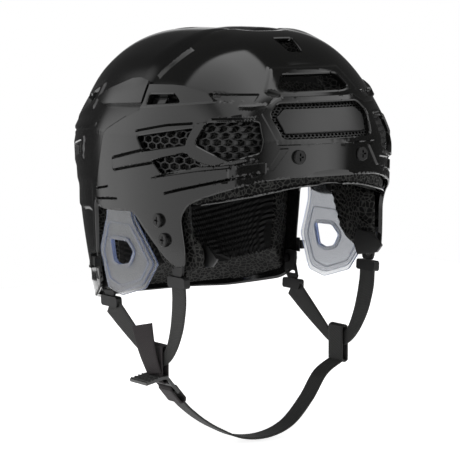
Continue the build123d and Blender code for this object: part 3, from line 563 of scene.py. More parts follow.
def rolled(distance, radius):
    # Drop towards an edge that is rolled over
    share = np.clip(1 - distance / radius, 0, 1)
    return -radius * (1 - np.sqrt(np.clip(1 - share ** 2, 0, 1)))


def boundaryEdges(faces):
    # Edges that only one face uses
    seen = {}
    for face in faces:
        for edge in zip(face, [*face[1:], face[0]]):
            if not seen.pop(edge[::-1], False):
                seen[edge] = True
    return list(seen)


def smoothPiece(name, mesh, material, sharp):
    mesh.materials.clear()
    mesh.materials.append(material)
    mesh.shade_smooth()
    mesh.set_sharp_from_angle(angle=math.radians(sharp))
    return addObject(name, mesh)


def meshObject(name, verts, faces, material, sharp=35):
    mesh = bpy.data.meshes.new(name)
    corners = [tuple(point) for point in np.asarray(verts) * mm]
    mesh.from_pydata(corners, [], [tuple(int(i) for i in face) for face in faces])
    mesh.update()
    return smoothPiece(name, mesh, material, sharp)


def buildPanel(name, loops, outerSizes, innerSizes, material, spacing, roll, innerRoll=0.0,
               relief=None, innerRelief=None, features=()):
    flat, faces = triangulate(loops, outerSizes, spacing, features)
    directions = unflatten(flat)
    outer = onSurface(directions, outerSizes)
    inner = onSurface(directions, innerSizes)
    normals = vertexNormals(outer, faces)
    edge = np.min([lineDistance(outer, loop, True) for loop in loops], axis=0)
    lift = rolled(edge, roll)
    if relief:
        lift = lift + relief(outer)
    wall = rolled(edge, innerRoll) if innerRoll else np.zeros(len(outer))
    if innerRelief:
        wall = wall + innerRelief(inner)
    top = outer + normals * lift[:, None]
    under = inner - vertexNormals(inner, faces) * wall[:, None]
    count = len(top)
    sides = [(b, a, a + count, b + count) for a, b in boundaryEdges(faces)]
    allFaces = faces.tolist() + (faces[:, ::-1] + count).tolist() + sides
    return meshObject(name, np.concatenate([top, under]), allFaces, material)


def place(piece, body, slot, *nodes):
    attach(piece, body)
    if nodes:
        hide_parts(*nodes)
    return piece


# Relief drawn in a view: raised or sunk areas and ridge lines

reliefView = {"side": 25, "front": -20, "plan": 55, "frontReach": 95, "spacing": 1.2}


def viewPair(points, view):
    # The points as the view shows them, and which of them it can see
    x, y, z = points.T
    if view == "side":
        return points[:, 1:3], np.abs(x) > reliefView["side"]
    if view == "front":
        return np.column_stack([np.abs(x), z]), y < reliefView["front"]
    return np.column_stack([np.abs(x), y]), z > reliefView["plan"]


def smoothStep(value):
    value = np.clip(value, 0, 1)
    return value * value * (3 - 2 * value)


def reliefOf(areas, ridges):
    def lift(points):
        total = np.zeros(len(points))
        for area in areas:
            flat, seen = viewPair(points, area["view"])
            loop = roundCorners(area["points"], area.get("corner", 2.0))
            height = area["height"] + (flat - np.array(area.get("at", (0, 0)))) @ np.array(area.get("tilt", (0, 0)))
            total += np.where(seen, height * smoothStep(depthIn(flat, loop) / area["bevel"] + 0.5), 0)
        for ridge in ridges:
            flat, seen = viewPair(points, ridge["view"])
            line = roundCorners(ridge["points"], ridge.get("corner", 3.0), closed=False)
            away = lineDistance(flat, line, False)
            total += np.where(seen, ridge["height"] * smoothStep(1 - away / ridge["width"]), 0)
        return total
    return lift


def featureLines(areas, ridges, sizes):
    # Points along each relief line on both sides, so that its edge is crisp in the mesh
    lines = []
    for item in [*areas, *ridges]:
        closed = "bevel" in item
        base = smoothLine(item["points"], item.get("corner", 2.0), reliefView["spacing"], closed)
        half = (item["bevel"] if closed else item["width"]) / 2
        ahead = np.gradient(base, axis=0)
        across = unit(np.column_stack([-ahead[:, 1], ahead[:, 0]]))
        for shift in (-half, 0, half) if closed else (-2 * half, -half, 0, half, 2 * half):
            flat = base + across * shift
            if item["view"] == "side":
                line = sideLine(flat, sizes)[0]
            elif item["view"] == "front":
                line = frontLine(flat[np.abs(flat[:, 0]) < reliefView["frontReach"]], sizes)
            else:
                line = planLine(flat, sizes)
            lines += [line, line * np.array([-1, 1, 1])]
    return lines


print("panel tools ready")


# Front shell

frontShell = {
    "outline": [(-148, 4.3), (-117.8, 3.3), (-85.6, -10), (-71.9, -16.5), (-66, -26), (-68.5, -50), (-68, -61),
                (-62, -63), (-53, -58), (-18, -25), (22, -27), (33, -25), (37, -19), (34, -10), (29, 8), (21, 33.1),
                (-3, 45.2), (-19, 51.2), (-19, 72.4), (-33, 93.4), (-28, 118)],
    "corner": 6.0,
    "sideHoles": [
        [(-24, 31.1), (-73, 39.2), (-72, 27.1), (-31, 20.1)],
        [(-81, 43.2), (-106, 44.2), (-113, 30.2), (-112, 22.1), (-99, 16.1), (-79, 27.1)],
        [(-41, 14.1), (-72, 21), (-83, 12), (-50, 5)],
        [(-23.6, 60.3), (-48, 61.3), (-55.8, 55.9), (-23.6, 53.3)],
    ],
    "recess": [(-35, 56.3), (35, 56.3), (43, 48.2), (39, 31.7), (-39, 31.7), (-43, 48.2)],
    "slot": [(-31, 66.3), (-24, 75.8), (24, 75.8), (31, 66.3), (24, 64.3), (-24, 64.3)],
    "topVent": [(-9, -62), (9, -62), (6, -80), (-6, -80)],
    "areas": [
        {"view": "side", "height": 1.0, "tilt": (0, 0.13), "at": (0, 52), "bevel": 0.9, "corner": 1.0,
         "points": [(-4, 68.5), (-19, 67), (-44, 67.5), (-54, 67), (-72, 63), (-80, 57), (-55, 54.5), (-18, 51),
                    (-4, 50)]},
        {"view": "side", "height": 1.0, "bevel": 0.7, "corner": 0.8,
         "points": [(-74, 42), (-81, 43), (-79, 28), (-99, 16), (-90, 12.5), (-81, 15), (-71, 21), (-39, 13), (6, 5),
                    (7, 12), (-31, 20), (-59, 26), (-72, 28)]},
        {"view": "side", "height": -1.5, "bevel": 0.8, "corner": 0.8,
         "points": [(-40, 1.2), (-50, 4), (-81, 11.5), (-92, 12.3), (-100, 13.5), (-112, 18), (-98, 11), (-81, 8.5)]},
        {"view": "front", "height": -1.8, "bevel": 0.8, "corner": 0.8,
         "points": [(72, 63), (70, 58), (50, 58), (45, 63)]},
        {"view": "side", "height": 0.9, "tilt": (0.25, 0.17), "at": (-22, 74), "bevel": 0.6, "corner": 0.6,
         "points": [(-19.5, 73.6), (-24.5, 73), (-38, 92.5), (-33.5, 94)]},
        {"view": "front", "height": -1.1, "bevel": 0.9, "corner": 1.5,
         "points": [(73, 12), (51, 15.5), (51, 7.5), (73, 4)]},
        {"view": "front", "height": 1.3, "bevel": 0.8, "corner": 0.8,
         "points": [(50.5, 9.5), (41.5, 25), (35.5, 25), (46.5, 9.5)]},
        {"view": "front", "height": 0.9, "bevel": 0.8, "corner": 1.5,
         "points": [(-20, 60.5), (37, 60.5), (48.5, 49), (43.5, 27.5), (-20, 27.5)]},
        {"view": "front", "height": 1.2, "bevel": 1.8, "corner": 1.5,
         "points": [(-20, 80.5), (30, 80.5), (40.5, 64.5), (31, 61.5), (-20, 61.5)]},
        {"view": "plan", "height": -3.0, "bevel": 16.0, "corner": 10.0,
         "points": [(-20, 60), (14, 60), (14, -40), (-20, -40)]},
        {"view": "plan", "height": 0.9, "bevel": 16.0, "corner": 10.0,
         "points": [(22, 60), (56, 60), (54, -28), (40, -44), (24, -30)]},
    ],
    "ridges": [
        {"view": "side", "width": 1.0, "height": -2.0, "points": [(-22, 34.5), (-51, 40), (-71, 42)]},
        {"view": "side", "width": 0.9, "height": -1.4, "points": [(-83, 45.5), (-104, 46.5)]},
        {"view": "side", "width": 0.9, "height": -1.7, "corner": 1.5,
         "points": [(-71, 29.4), (-59, 27.4), (-31, 21.4), (7.6, 13.4), (6.6, 3.8), (-39, 11.8), (-70, 19.8)]},
        {"view": "side", "width": 1.1, "height": -2.0, "points": [(-53, -9), (-84, -1), (-102, 4), (-111, 6.5)]},
        {"view": "side", "width": 0.9, "height": -1.8, "points": [(35, -12), (16, -9)]},
        {"view": "side", "width": 0.9, "height": -1.8, "points": [(35, -19.5), (3, -17)]},
        {"view": "front", "width": 1.0, "height": 0.5, "points": [(31, 61), (42, 54.5), (60, 54)]},
    ],
    "wall": 3.0, "roll": 0.9, "spacing": 1.25, "cutSpacing": 1.3,
}


def halfLoop(pairs, sizes, corner, spacing=1.5):
    return sideLine(smoothLine(pairs, corner, spacing, closed=False), sizes)[0]


def sideHoles(part, sizes):
    lines = [smoothLine(hole, corner=1.8, spacing=1.2) for hole in part["sideHoles"]]
    return [sideLine(line, sizes, side)[0] for line in lines for side in (1, -1)]


def makeFrontShell(part):
    outer = shellSizes(0)
    loops = [bothSides(halfLoop(part["outline"], outer, part["corner"])), *sideHoles(part, outer)]
    for line, key, corner in ((frontLine, "recess", 3.0), (frontLine, "slot", 2.0), (planLine, "topVent", 2.0)):
        loops.append(line(smoothLine(part[key], corner, part["cutSpacing"]), outer))
    relief = reliefOf(part["areas"], part["ridges"])
    features = featureLines(part["areas"], part["ridges"], outer)
    piece = buildPanel("frontShellSkin", loops, outer, shellSizes(part["wall"]), finishes["shell"],
                       part["spacing"], part["roll"], relief=relief, features=features)
    return place(piece, "front", "shell", "front_shell")


makeFrontShell(frontShell)
print("front shell done")


# Lattice sheets behind the vents: rows of flattened hexagons with thin webs

lattice = {
    "side": {"pitch": 8.4, "row": 4.6, "web": 0.15, "start": -143, "bend": (-60, 0.0035), "outer": 3.2, "inner": 5.2,
             "region": [(-119, 1.5), (-16, 1.5), (-16, 33), (-26, 41), (-43, 48), (-119, 48)]},
    "brow": {"pitch": 3.4, "row": 1.9, "web": 0.26, "start": -44, "bend": (-200, 0), "outer": 3.2, "inner": 5.4,
             "region": [(-44, 29.5), (44, 29.5), (44, 59), (-44, 59)]},
    "innerWeb": 1.4, "nearestSide": 47,
}


def latticeRings(part, line, keep):
    # Corner points of every whole cell, and the hexagons that use them
    corners, cells = {}, []
    rise = part["row"] * 2 / 3
    region = np.array(part["region"], float)
    low, high = region.min(0), region.max(0)
    turns = [math.tau * i / 6 for i in range(6)]
    wide = math.sin(turns[1])
    hexagon = np.array([(math.sin(turn) / wide * part["pitch"] / 2, math.cos(turn) * rise) for turn in turns])
    for row in range(int((high[1] - low[1]) / part["row"]) + 1):
        for column in range(int((high[0] - part["start"]) / part["pitch"]) + 1):
            across = part["start"] + (column + 0.5 * (row % 2)) * part["pitch"]
            ring = np.array([across, low[1] + row * part["row"]]) + hexagon
            # closer columns where the surface turns towards the front
            ring[:, 0] += part["bend"][1] * np.clip(part["bend"][0] - ring[:, 0], 0, None) ** 2
            if insideLoop(ring, region).all() and keep(line(ring, shellSizes(0))):
                cells.append([corners.setdefault((round(a, 2), round(b, 2)), len(corners)) for a, b in ring])
    return np.array(list(corners)), cells


def makeLattice(name, part, line, keep, node):
    flat, cells = latticeRings(part, line, keep)
    count = len(flat)
    levels = [line(flat, shellSizes(part[key])) for key in ("outer", "inner")]
    verts, faces = [*levels[0], *levels[1]], []
    for cell in cells:
        middle = flat[cell].mean(0)
        start = len(verts)
        for key, share in (("outer", 1 - part["web"]), ("inner", 1 - lattice["innerWeb"] * part["web"])):
            verts += [*line(middle + (flat[cell] - middle) * share, shellSizes(part[key]))]
        for i in range(6):
            j = (i + 1) % 6
            a, b = cell[i], cell[j]
            faces += [(a, start + i, start + j, b), (start + i, start + 6 + i, start + 6 + j, start + j),
                      (start + 6 + i, a + count, b + count, start + 6 + j)]
    faces += [(a, b, b + count, a + count) for a, b in boundaryEdges(cells)]
    piece = meshObject(name, verts, faces, finishes["lattice"], sharp=30)
    return place(piece, "front", "shell", node)


def makeLattices(part):
    def atSide(ring):
        return np.abs(ring[:, 0]).min() > part["nearestSide"]

    for mark, way in (("Left", 1), ("Right", -1)):
        def line(pairs, sizes):
            points, seen = sideLine(pairs, sizes, way)
            return points if seen.all() else np.zeros((1, 3))
        makeLattice("ventLattice" + mark, part["side"], line, atSide, "side_lattice_" + mark.lower())
    makeLattice("browLattice", part["brow"], frontLine, lambda ring: True, "brow_lattice")


makeLattices(lattice)
print("lattices done")


# Brow plate in the recess, left bare

browPlate = {
    "outline": [(-31.6, 52.7), (31.6, 52.7), (38.9, 46.7), (35.9, 35.3), (-35.9, 35.3), (-38.9, 46.7)],
    "corner": 2.0, "inset": 1.2, "wall": 2.95, "spacing": 1.6, "roll": 0.7,
}


def makeBrowPlate(part):
    outer = shellSizes(part["inset"])
    loop = frontLine(smoothLine(part["outline"], part["corner"], spacing=1.3), outer)
    inner = shellSizes(part["wall"])
    piece = buildPanel("browPlateSkin", [loop], outer, inner, finishes["tab"], part["spacing"], part["roll"])
    return place(piece, "front", "shell", "brow_plate")


makeBrowPlate(browPlate)


# Rear shell, whose tongue runs under the front one

rearShell = {
    "outline": [(-46, 118), (-51, 93.4), (-37, 72.4), (-37, 51.2), (-21, 45.2), (3, 33), (3, -4), (32.8, -4),
                (32.8, -20), (44.7, -22), (46.2, -60), (44.7, -88), (58, -97), (95.4, -105.5), (178, -107.5)],
    "corner": 5.0,
    "sideHoles": [
        [(62.6, 60.8), (92.4, 51), (92.4, 41.2), (65.6, 51)],
        [(68.5, 21.7), (104.3, 15.2), (104.3, 5.4), (71.5, 11.9)],
    ],
    "crownVent": [(17.7, 17.9), (28.1, 17.9), (28.1, 59.6), (20.8, 59.6)],
    "ventCorner": 2.0, "ventSpacing": 1.5,
    # edge of the front shell over the tongue, and how the relief fades towards it
    "seam": [(15, -30), (21, 33), (-3, 45), (-19, 51), (-19, 72), (-33, 93), (-28, 118), (200, 118), (200, -30)],
    "seamFade": 14, "seamLow": -30,
    # fields that stand out beside the front shell
    "proud": [
        {"view": "side", "height": 5.0, "tilt": (0, 0.13), "at": (0, 52), "bevel": 0.9, "corner": 1.0,
         "points": [(50, 52), (46, 55), (33, 60), (4, 68), (-7, 69), (-17.4, 67.2), (-17.4, 52), (37, 49)]},
        {"view": "plan", "height": 3.2, "bevel": 20.0, "corner": 12.0,
         "points": [(-20, 130), (60, 120), (75, 60), (76, -5), (66, -14), (50, -20), (-20, -20)]},
    ],
    "areas": [
        {"view": "plan", "height": -2.8, "bevel": 14.0, "corner": 10.0,
         "points": [(-20, 120), (11, 120), (12, -60), (-20, -60)]},
        {"view": "side", "height": 1.0, "bevel": 4.0, "corner": 2.0,
         "points": [(56, 66), (98, 54), (98, 36), (60, 46)]},
        {"view": "side", "height": 1.0, "bevel": 5.0, "corner": 2.0,
         "points": [(62, 27), (110, 19), (110, 0), (66, 7)]},
        {"view": "side", "height": -0.9, "bevel": 5.0, "corner": 4.0,
         "points": [(50, -8), (118, -14), (124, -50), (108, -88), (52, -82)]},
    ],
    "ridges": [
        {"view": "side", "width": 1.6, "height": -0.9, "points": [(44, 34), (126, 24)]},
    ],
    "spacing": 1.9, "roll": 0.9,
}


def makeRearShell(part):
    outer = shellSizes(shellForm["rearInset"])
    inner = shellSizes(shellForm["rearInset"] + shellForm["rearWall"])
    loops = [bothSides(halfLoop(part["outline"], outer, part["corner"], spacing=2.0)), *sideHoles(part, outer)]
    for side in (1, -1):
        vent = np.array(part["crownVent"]) * np.array([side, 1])
        loops.append(planLine(smoothLine(vent, part["ventCorner"], part["ventSpacing"]), outer))
    base = reliefOf(part["areas"], part["ridges"])
    proud = reliefOf(part["proud"], [])
    seam = np.array(part["seam"], float)

    def relief(points):
        # nothing stands out where the front shell lies over the tongue
        away = depthIn(points[:, 1:3], seam)
        lift = base(points)
        faded = np.where(away > 0, lift * smoothStep(away / part["seamFade"]), np.minimum(lift, 0))
        return np.where(points[:, 2] < part["seamLow"], lift, faded) + proud(points)

    features = featureLines(part["areas"] + part["proud"], part["ridges"], outer)
    piece = buildPanel("rearShellSkin", loops, outer, inner, finishes["rearShell"],
                       part["spacing"], part["roll"], relief=relief, features=features)
    return place(piece, "rear", "rear_shell", "rear_shell")


makeRearShell(rearShell)
print("rear shell done")


# Liner pads: moulded foam with ribs on the inside and, on the edges, a cell pattern whose pits are painted dark as
# shade

liner = {
    "spacing": 2.0, "corner": 4.0, "lineSpacing": 2.0, "ribPitch": 4.6, "ribHeight": 0.55, "ribBow": (20, 0.0035),
    "outerRoll": 1.2, "innerRoll": 3.0, "unrollRadius": 90, "border": 6.0, "cellLevel": -86, "middle": (0, 5, 10),
    "templeReach": 75.9,
    "brow": [(-148, -1.5), (-116.5, -1.6), (-114.4, -2.7), (-110.3, -5.4), (-104.6, -8), (-97, -10.3), (-88, -12.8),
             (-76, -15.4), (-71.9, -17), (-62, -12), (-62, 61.8), (-148, 61.8)],
    "browStep": {"half": 42, "levels": (25.0, 6.0), "height": 1.9, "fade": 2.5},
    "crown": [(-47, 118), (-47, 58.6), (74.5, 58.6), (74.5, 118)],
    "nape": [(-20, -101.5), (20, -101.5), (20, 53), (-20, 53)],
    "side": [(-59.5, 54), (-59.5, -12), (-16, -12), (-13.6, -4), (10.4, -4), (10.4, 54)],
    "sideStep": {"y": -46, "height": -3.5, "fade": 8},
    "temple": [(-58.3, -14.5), (-65.7, -20), (-68, -44), (-75.6, -48), (-75.6, -62), (-55.8, -68), (-40.9, -60),
               (-24.8, -32), (-18.6, -14.5)],
    "rear": [(14.9, 54), (14.9, -3), (44.7, -3), (55, -24), (55, -88), (89, -99.5), (92, -99.5)],
    "rearBack": [(25, -102.5), (25, 53)], "rearTop": (16.9, 54),
}


def ribs(points):
    start, bow = liner["ribBow"]
    wave = np.sin(math.tau * (points[:, 2] + bow * (points[:, 1] - start) ** 2) / liner["ribPitch"])
    return liner["ribHeight"] * (wave - 1)


def unroll(points, middle):
    # Turn about Z as a length along the shell, and the level
    x, y, level = points.T
    turn = np.arctan2(x * middle[1] - y * middle[0], x * middle[0] + y * middle[1])
    return np.column_stack([liner["unrollRadius"] * turn, level])


def makePad(name, loop, node, body, lift=None, ribbed=True, cells=0.0, narrow=0.0):
    outer = shellSizes(shellForm["padInset"])
    piece = buildPanel(name, [loop], outer, list(shellForm["cavity"]), finishes["liner"], liner["spacing"],
                       liner["outerRoll"], liner["innerRoll"], relief=lift, innerRelief=ribs if ribbed else None)
    mesh = piece.data
    mesh.materials.append(finishes["linerCells"])
    for vertex in mesh.vertices:
        if narrow and abs(vertex.co.x) < narrow * mm:
            vertex.co.x = math.copysign(narrow * mm, vertex.co.x)
    # cell pattern with painted shade in its pits on the edges, on a border beside them, low on the nape and on faces
    # turned outwards
    middle = loop.mean(0)
    centres = np.array([face.center for face in mesh.polygons]) / mm
    printed = lineDistance(unroll(centres, middle), unroll(loop, middle), True) < liner["border"]
    printed |= centres[:, 2] < liner["cellLevel"]
    heart = Vector(liner["middle"]) * mm
    for face, near in zip(mesh.polygons, printed):
        if len(face.vertices) == 4 or near or face.normal.dot((face.center - heart).normalized()) > cells:
            face.material_index = 1
    place(piece, body, "liner", node)
    return piece


def browLift(points):
    part = liner["browStep"]
    low = np.where(np.abs(points[:, 0]) < part["half"], *part["levels"])
    return part["height"] * smoothStep((low - points[:, 2]) / part["fade"])


def sideLift(points):
    part = liner["sideStep"]
    return part["height"] * smoothStep((points[:, 1] - part["y"]) / part["fade"])


def makeLiner(part):
    sizes = shellSizes(shellForm["padInset"])
    corner, spacing = part["corner"], part["lineSpacing"]

    def sidePad(key, spacing, closed=True):
        return sideLine(smoothLine(part[key], corner, spacing, closed), sizes)[0]

    brow = bothSides(halfLoop(part["brow"], sizes, corner=3.0, spacing=1.8))
    makePad("browPadFoam", brow, "brow_pad", "front", browLift)
    crown = bothSides(halfLoop(part["crown"], sizes, corner, spacing))
    makePad("crownPadFoam", crown, "crown_pad", "rear", ribbed=False)
    nape = frontLine(smoothLine(part["nape"], corner, spacing), sizes, atRear=True)
    makePad("napePadFoam", nape, "nape_pad", "rear")
    back = frontLine(dense(part["rearBack"], spacing, closed=False), sizes, atRear=True)
    top = dense([(back[-1][1] - spacing, part["rearTop"][1]), part["rearTop"]], spacing, closed=False)
    rear = np.concatenate([sidePad("rear", spacing, closed=False), back, sideLine(top, sizes)[0]])
    for mark, way in (("Left", 1), ("Right", -1)):
        mirror = np.array([way, 1, 1])
        node = mark.lower()
        makePad("sidePad" + mark, sidePad("side", spacing=1.8) * mirror, "side_pad_" + node, "front", sideLift)
        makePad("templePad" + mark, sidePad("temple", spacing=1.6) * mirror, "temple_pad_" + node, "front",
                narrow=part["templeReach"], cells=-2.0)
        makePad("rearPad" + mark, rear * mirror, "rear_pad_" + node, "rear")


browLip = {
    "line": [(-140, -1.5), (-119.9, -1.7), (-117.5, -2.8), (-113.3, -5.5), (-107.5, -8.1), (-99.7, -10.4),
             (-90.3, -12.9), (-78.3, -15.3)],
    "outer": 3.5, "inner": 9.5, "height": 1.4, "spacing": 1.0, "roll": 0.5,
}


def makeBrowLip(part):
    outer = shellSizes(part["outer"])
    upper = halfLoop(part["line"], outer, corner=2.0, spacing=1.2)
    lower = upper[::-1] - np.array([0, 0, part["height"]])
    loop = bothSides(np.concatenate([upper, lower]))
    piece = buildPanel("browLipEdge", [loop], outer, shellSizes(part["inner"]), finishes["lip"],
                       part["spacing"], part["roll"], part["roll"])
    return place(piece, "front", "liner", "brow_lip")


makeLiner(liner)
makeBrowLip(browLip)
print("liner done")


# Clear ear guards

earGuard = {
    "outline": [(31.3, -10), (-7.4, -10), (-7.4, -30), (-39.7, -62), (-22.3, -82), (10, -91), (29.8, -87), (41, -59),
                (31.3, -31)],
    "hole": [(22.4, -49.5), (0, -49), (-8.7, -56), (-2.5, -65), (10, -67.5), (17.9, -65.5)],
    "raised": [(26, -36), (-4, -36), (-30, -62), (-19, -76), (9, -84), (25, -80), (34, -59)],
    "studs": [(0, -17), (22.4, -17)], "studRadius": 3.3, "inner": 93.2, "edge": 94.6, "outer": 95.8, "overlap": 0.1,
    "border": 3.0, "rim": 3.0, "rimRise": 0.8, "stepWidth": 1.2, "stepRise": 0.5, "edgeNormal": 0.75,
}


def plate(name, outlines, low, high, bevel, corner):
    # Flat plate in the YZ plane with rounded edges, from a filled curve
    curve = bpy.data.curves.new(name, "CURVE")
    curve.dimensions = "2D"
    curve.fill_mode = "BOTH"
    curve.extrude = ((high - low) / 2 - bevel) * mm
    curve.bevel_depth = bevel * mm
    curve.bevel_resolution = 2
    for index, outline in enumerate(outlines):
        grown = shrink(roundCorners(outline, corner), bevel if index == 0 else -bevel)
        spline = curve.splines.new("POLY")
        spline.points.add(len(grown) - 1)
        for point, (y, z) in zip(spline.points, grown):
            point.co = (y * mm, z * mm, 0, 1)
        spline.use_cyclic_u = True
    holder = bpy.data.objects.new(name, curve)
    mesh = bpy.data.meshes.new_from_object(holder)
    bpy.data.objects.remove(holder)
    middle = (low + high) / 2
    for vertex in mesh.vertices:
        y, z, x = vertex.co
        vertex.co = (x + middle * mm, y, z)
    return smoothPiece(name, mesh, finishes["clear"], sharp=30)


def shrink(points, distance):
    # Outline moved towards its inside, or out of it where the distance is negative
    ahead = aheadOf(points)
    return points + np.column_stack([-ahead[:, 1], ahead[:, 0]]) * turnSign(points) * distance


def circlePoints(y, z, radius, count=24):
    turns = [math.tau * i / count for i in range(count)]
    return [(y + radius * math.cos(turn), z + radius * math.sin(turn)) for turn in turns]


def joinPieces(pieces):
    bpy.ops.object.select_all(action="DESELECT")
    for piece in pieces:
        piece.select_set(True)
    bpy.context.view_layer.objects.active = pieces[0]
    bpy.ops.object.join()
    return pieces[0]


def flipped(piece):
    # The same mesh on the other side of the middle plane
    mesh = piece.data.copy()
    for vertex in mesh.vertices:
        vertex.co.x = -vertex.co.x
    mesh.flip_normals()
    return addObject(piece.name.replace("Left", "Right"), mesh)


def makeEarGuards(part):
    outline, hole, raised, edge, outer = (part[key] for key in ("outline", "hole", "raised", "edge", "outer"))
    holes = [hole] + [circlePoints(y, z, part["studRadius"]) for y, z in part["studs"]]
    under = outer - part["overlap"]
    rim = shrink(roundCorners(hole, radius=3.0), -part["rim"])
    faceLine = shrink(roundCorners(outline, radius=7.0), part["border"])
    stepLine = shrink(roundCorners(raised, radius=4.0), part["stepWidth"])
    left = joinPieces([
        plate("earGuardLeft", [outline, *holes], part["inner"], edge, bevel=0.6, corner=3.0),
        plate("guardFace", [faceLine, *holes], edge - part["overlap"], outer, bevel=0.4, corner=0.5),
        plate("guardCollar", [rim, hole], under, outer + part["rimRise"], bevel=0.35, corner=2.0),
        plate("guardStep", [raised, stepLine], under, outer + part["stepRise"], bevel=0.25, corner=4.0),
    ])
    left.data.materials.append(finishes["guardEdge"])
    for face in left.data.polygons:
        if abs(face.normal.x) < part["edgeNormal"]:
            face.material_index = len(left.data.materials) - 1
    right = flipped(left)
    place(left, "front", "clear_guard", "ear_guard_left")
    place(right, "front", "clear_guard", "ear_guard_right")


makeEarGuards(earGuard)
print("ear guards done")


# Webbing and straps

webbing = {
    "thickness": 1.5, "lean": 3.15, "halfSpan": 83.5, "footDrop": 134.0, "stretch": (-10, 38), "rows": 70,
    "route": [(-55, -77), (-54.5, -90), (-50, -108), (-42, -124), (-33, -133.5), (-23, -136.5), (-12, -134.5),
              (2, -126), (20, -114.5), (33, -106), (41, -101)],
    "widths": [18, 18, 16.5, 13.5, 10, 7.5, 9.5, 12.5, 15, 17, 18],
}
straps = {
    "swingY": -23.0, "x": 83.22, "width": 17.6, "thickness": 1.5, "chinRows": 110, "loopRows": 90, "loopHalf": 2.6,
    "chin": [(-66.4, -168.1), (-60, -174.5), (-48, -184), (-33, -193), (-12, -202), (12, -203.5), (34, -196.5),
             (52, -179.5), (66, -160.5), (82.6, -151)],
    "loop": {"z": 0, "top": -124.0, "bottom": -152.4, "lean": 0},
    "fold": {"z": -147.9, "top": -10.0, "bottom": -26.4, "lean": 40},
    "tail": {"out": 4.6, "ahead": 0.6, "foot": -145.6, "rise": 36.5, "lean": 9, "back": 12, "twist": 26, "bow": 1.2,
             "width": 18.0, "thickness": 1.4, "rows": 30},
}


def curveThrough(points, count, steps=12):
    # Smooth line through points, evenly spaced
    points = np.asarray(points, float)
    padded = np.vstack([2 * points[0] - points[1], points, 2 * points[-1] - points[-2]])
    line = []
    for i in range(1, len(padded) - 2):
        p0, p1, p2, p3 = padded[i - 1:i + 3]
        for step in range(steps):
            t = step / steps
            bend, twist = 2 * p0 - 5 * p1 + 4 * p2 - p3, 3 * p1 - p0 - 3 * p2 + p3
            line.append(0.5 * (2 * p1 + (p2 - p0) * t + bend * t ** 2 + twist * t ** 3))
    line.append(points[-1])
    line = np.array(line)
    run = np.concatenate([[0], np.cumsum(np.linalg.norm(np.diff(line, axis=0), axis=1))])
    even = np.linspace(0, run[-1], count)
    return np.column_stack([np.interp(even, run, line[:, axis]) for axis in range(points.shape[1])]), even


def ribbon(name, centre, across, widths, thickness, material, along, columns=8):
    # Strap with rounded edges, in shares of its width and thickness; its UV map is in millimetres
    across = unit(np.asarray(across, float))
    up = unit(np.cross(unit(np.gradient(centre, axis=0)), across))
    flat = [(-0.46 + 0.92 * i / columns, 1.0) for i in range(columns + 1)]
    section = [(-0.5, 0.0), (-0.49, 0.6), *flat, (0.49, 0.6), (0.5, 0.0)]
    section += [(x, -y) for x, y in reversed(section[1:-1])]
    count = len(section)
    verts, uvs = [], []
    for spot, side, normal, width, distance in zip(centre, across, up, widths, along):
        for x, y in section:
            verts.append(spot + side * x * width + normal * y * thickness / 2)
            uvs.append((distance, x * width))
    last = len(verts) - count
    faces = []
    for row in range(0, last, count):
        for i in range(count):
            j = (i + 1) % count
            faces.append((row + i, row + j, row + count + j, row + count + i))
    faces += [tuple(range(count))[::-1], tuple(range(last, len(verts)))]
    piece = meshObject(name, verts, faces, material, sharp=50)
    layer = piece.data.uv_layers.new(name="strapMap")
    for loop in piece.data.loops:
        layer.data[loop.index].uv = uvs[loop.vertex_index]
    return piece


def webX(z, part=webbing):
    return part["halfSpan"] + (z + part["footDrop"]) * math.tan(math.radians(part["lean"]))


def makeWebbing(part):
    count, widths = part["rows"], part["widths"]
    line, along = curveThrough(part["route"], count)
    widths = np.interp(np.linspace(0, 1, count), np.linspace(0, 1, len(widths)), widths)
    ahead = np.gradient(line, axis=0)
    centre = np.column_stack([webX(line[:, 1]), line])
    across = np.column_stack([np.zeros(count), -ahead[:, 1], ahead[:, 0]])
    left = ribbon("webbingLeft", centre, across, widths, part["thickness"], finishes["webbing"], along)
    right = flipped(left)
    start, end = ((0, y * mm, 0) for y in part["stretch"])
    for piece, node in ((left, "y_web_left"), (right, "y_web_right")):
        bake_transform(piece)
        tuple(start)
        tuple(end)
        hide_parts(node)


def loopLine(top, bottom, half, count=10):
    # Closed loop of strap seen along Y: up one side, round the top, down the other and round the foot
    line = []
    for turned, middle in ((0, top - half), (1, bottom + half)):
        for i in range(count + 1):
            turn = math.pi * (turned + i / count)
            line.append((half * math.cos(turn), middle + half * math.sin(turn)))
    return np.array(line + line[:1])


def flatStrap(name, line, along, material):
    # Strap that lies across Y, along a line of (x, z)
    count = len(line)
    centre = np.column_stack([line[:, 0], np.full(count, straps["swingY"]), line[:, 1]])
    return ribbon(name, centre, np.tile([0, 1, 0], (count, 1)), np.full(count, straps["width"]), straps["thickness"],
                  material, along)


def loopPiece(name, side, loop, material):
    turn = math.radians(loop["lean"])
    points, along = curveThrough(loopLine(loop["top"], loop["bottom"], straps["loopHalf"]), straps["loopRows"])
    across, up = points.T
    x = side * straps["x"] + (across * math.cos(turn) - up * math.sin(turn))
    z = loop["z"] + (across * math.sin(turn) + up * math.cos(turn))
    return flatStrap(name, np.column_stack([x, z]), along, material)


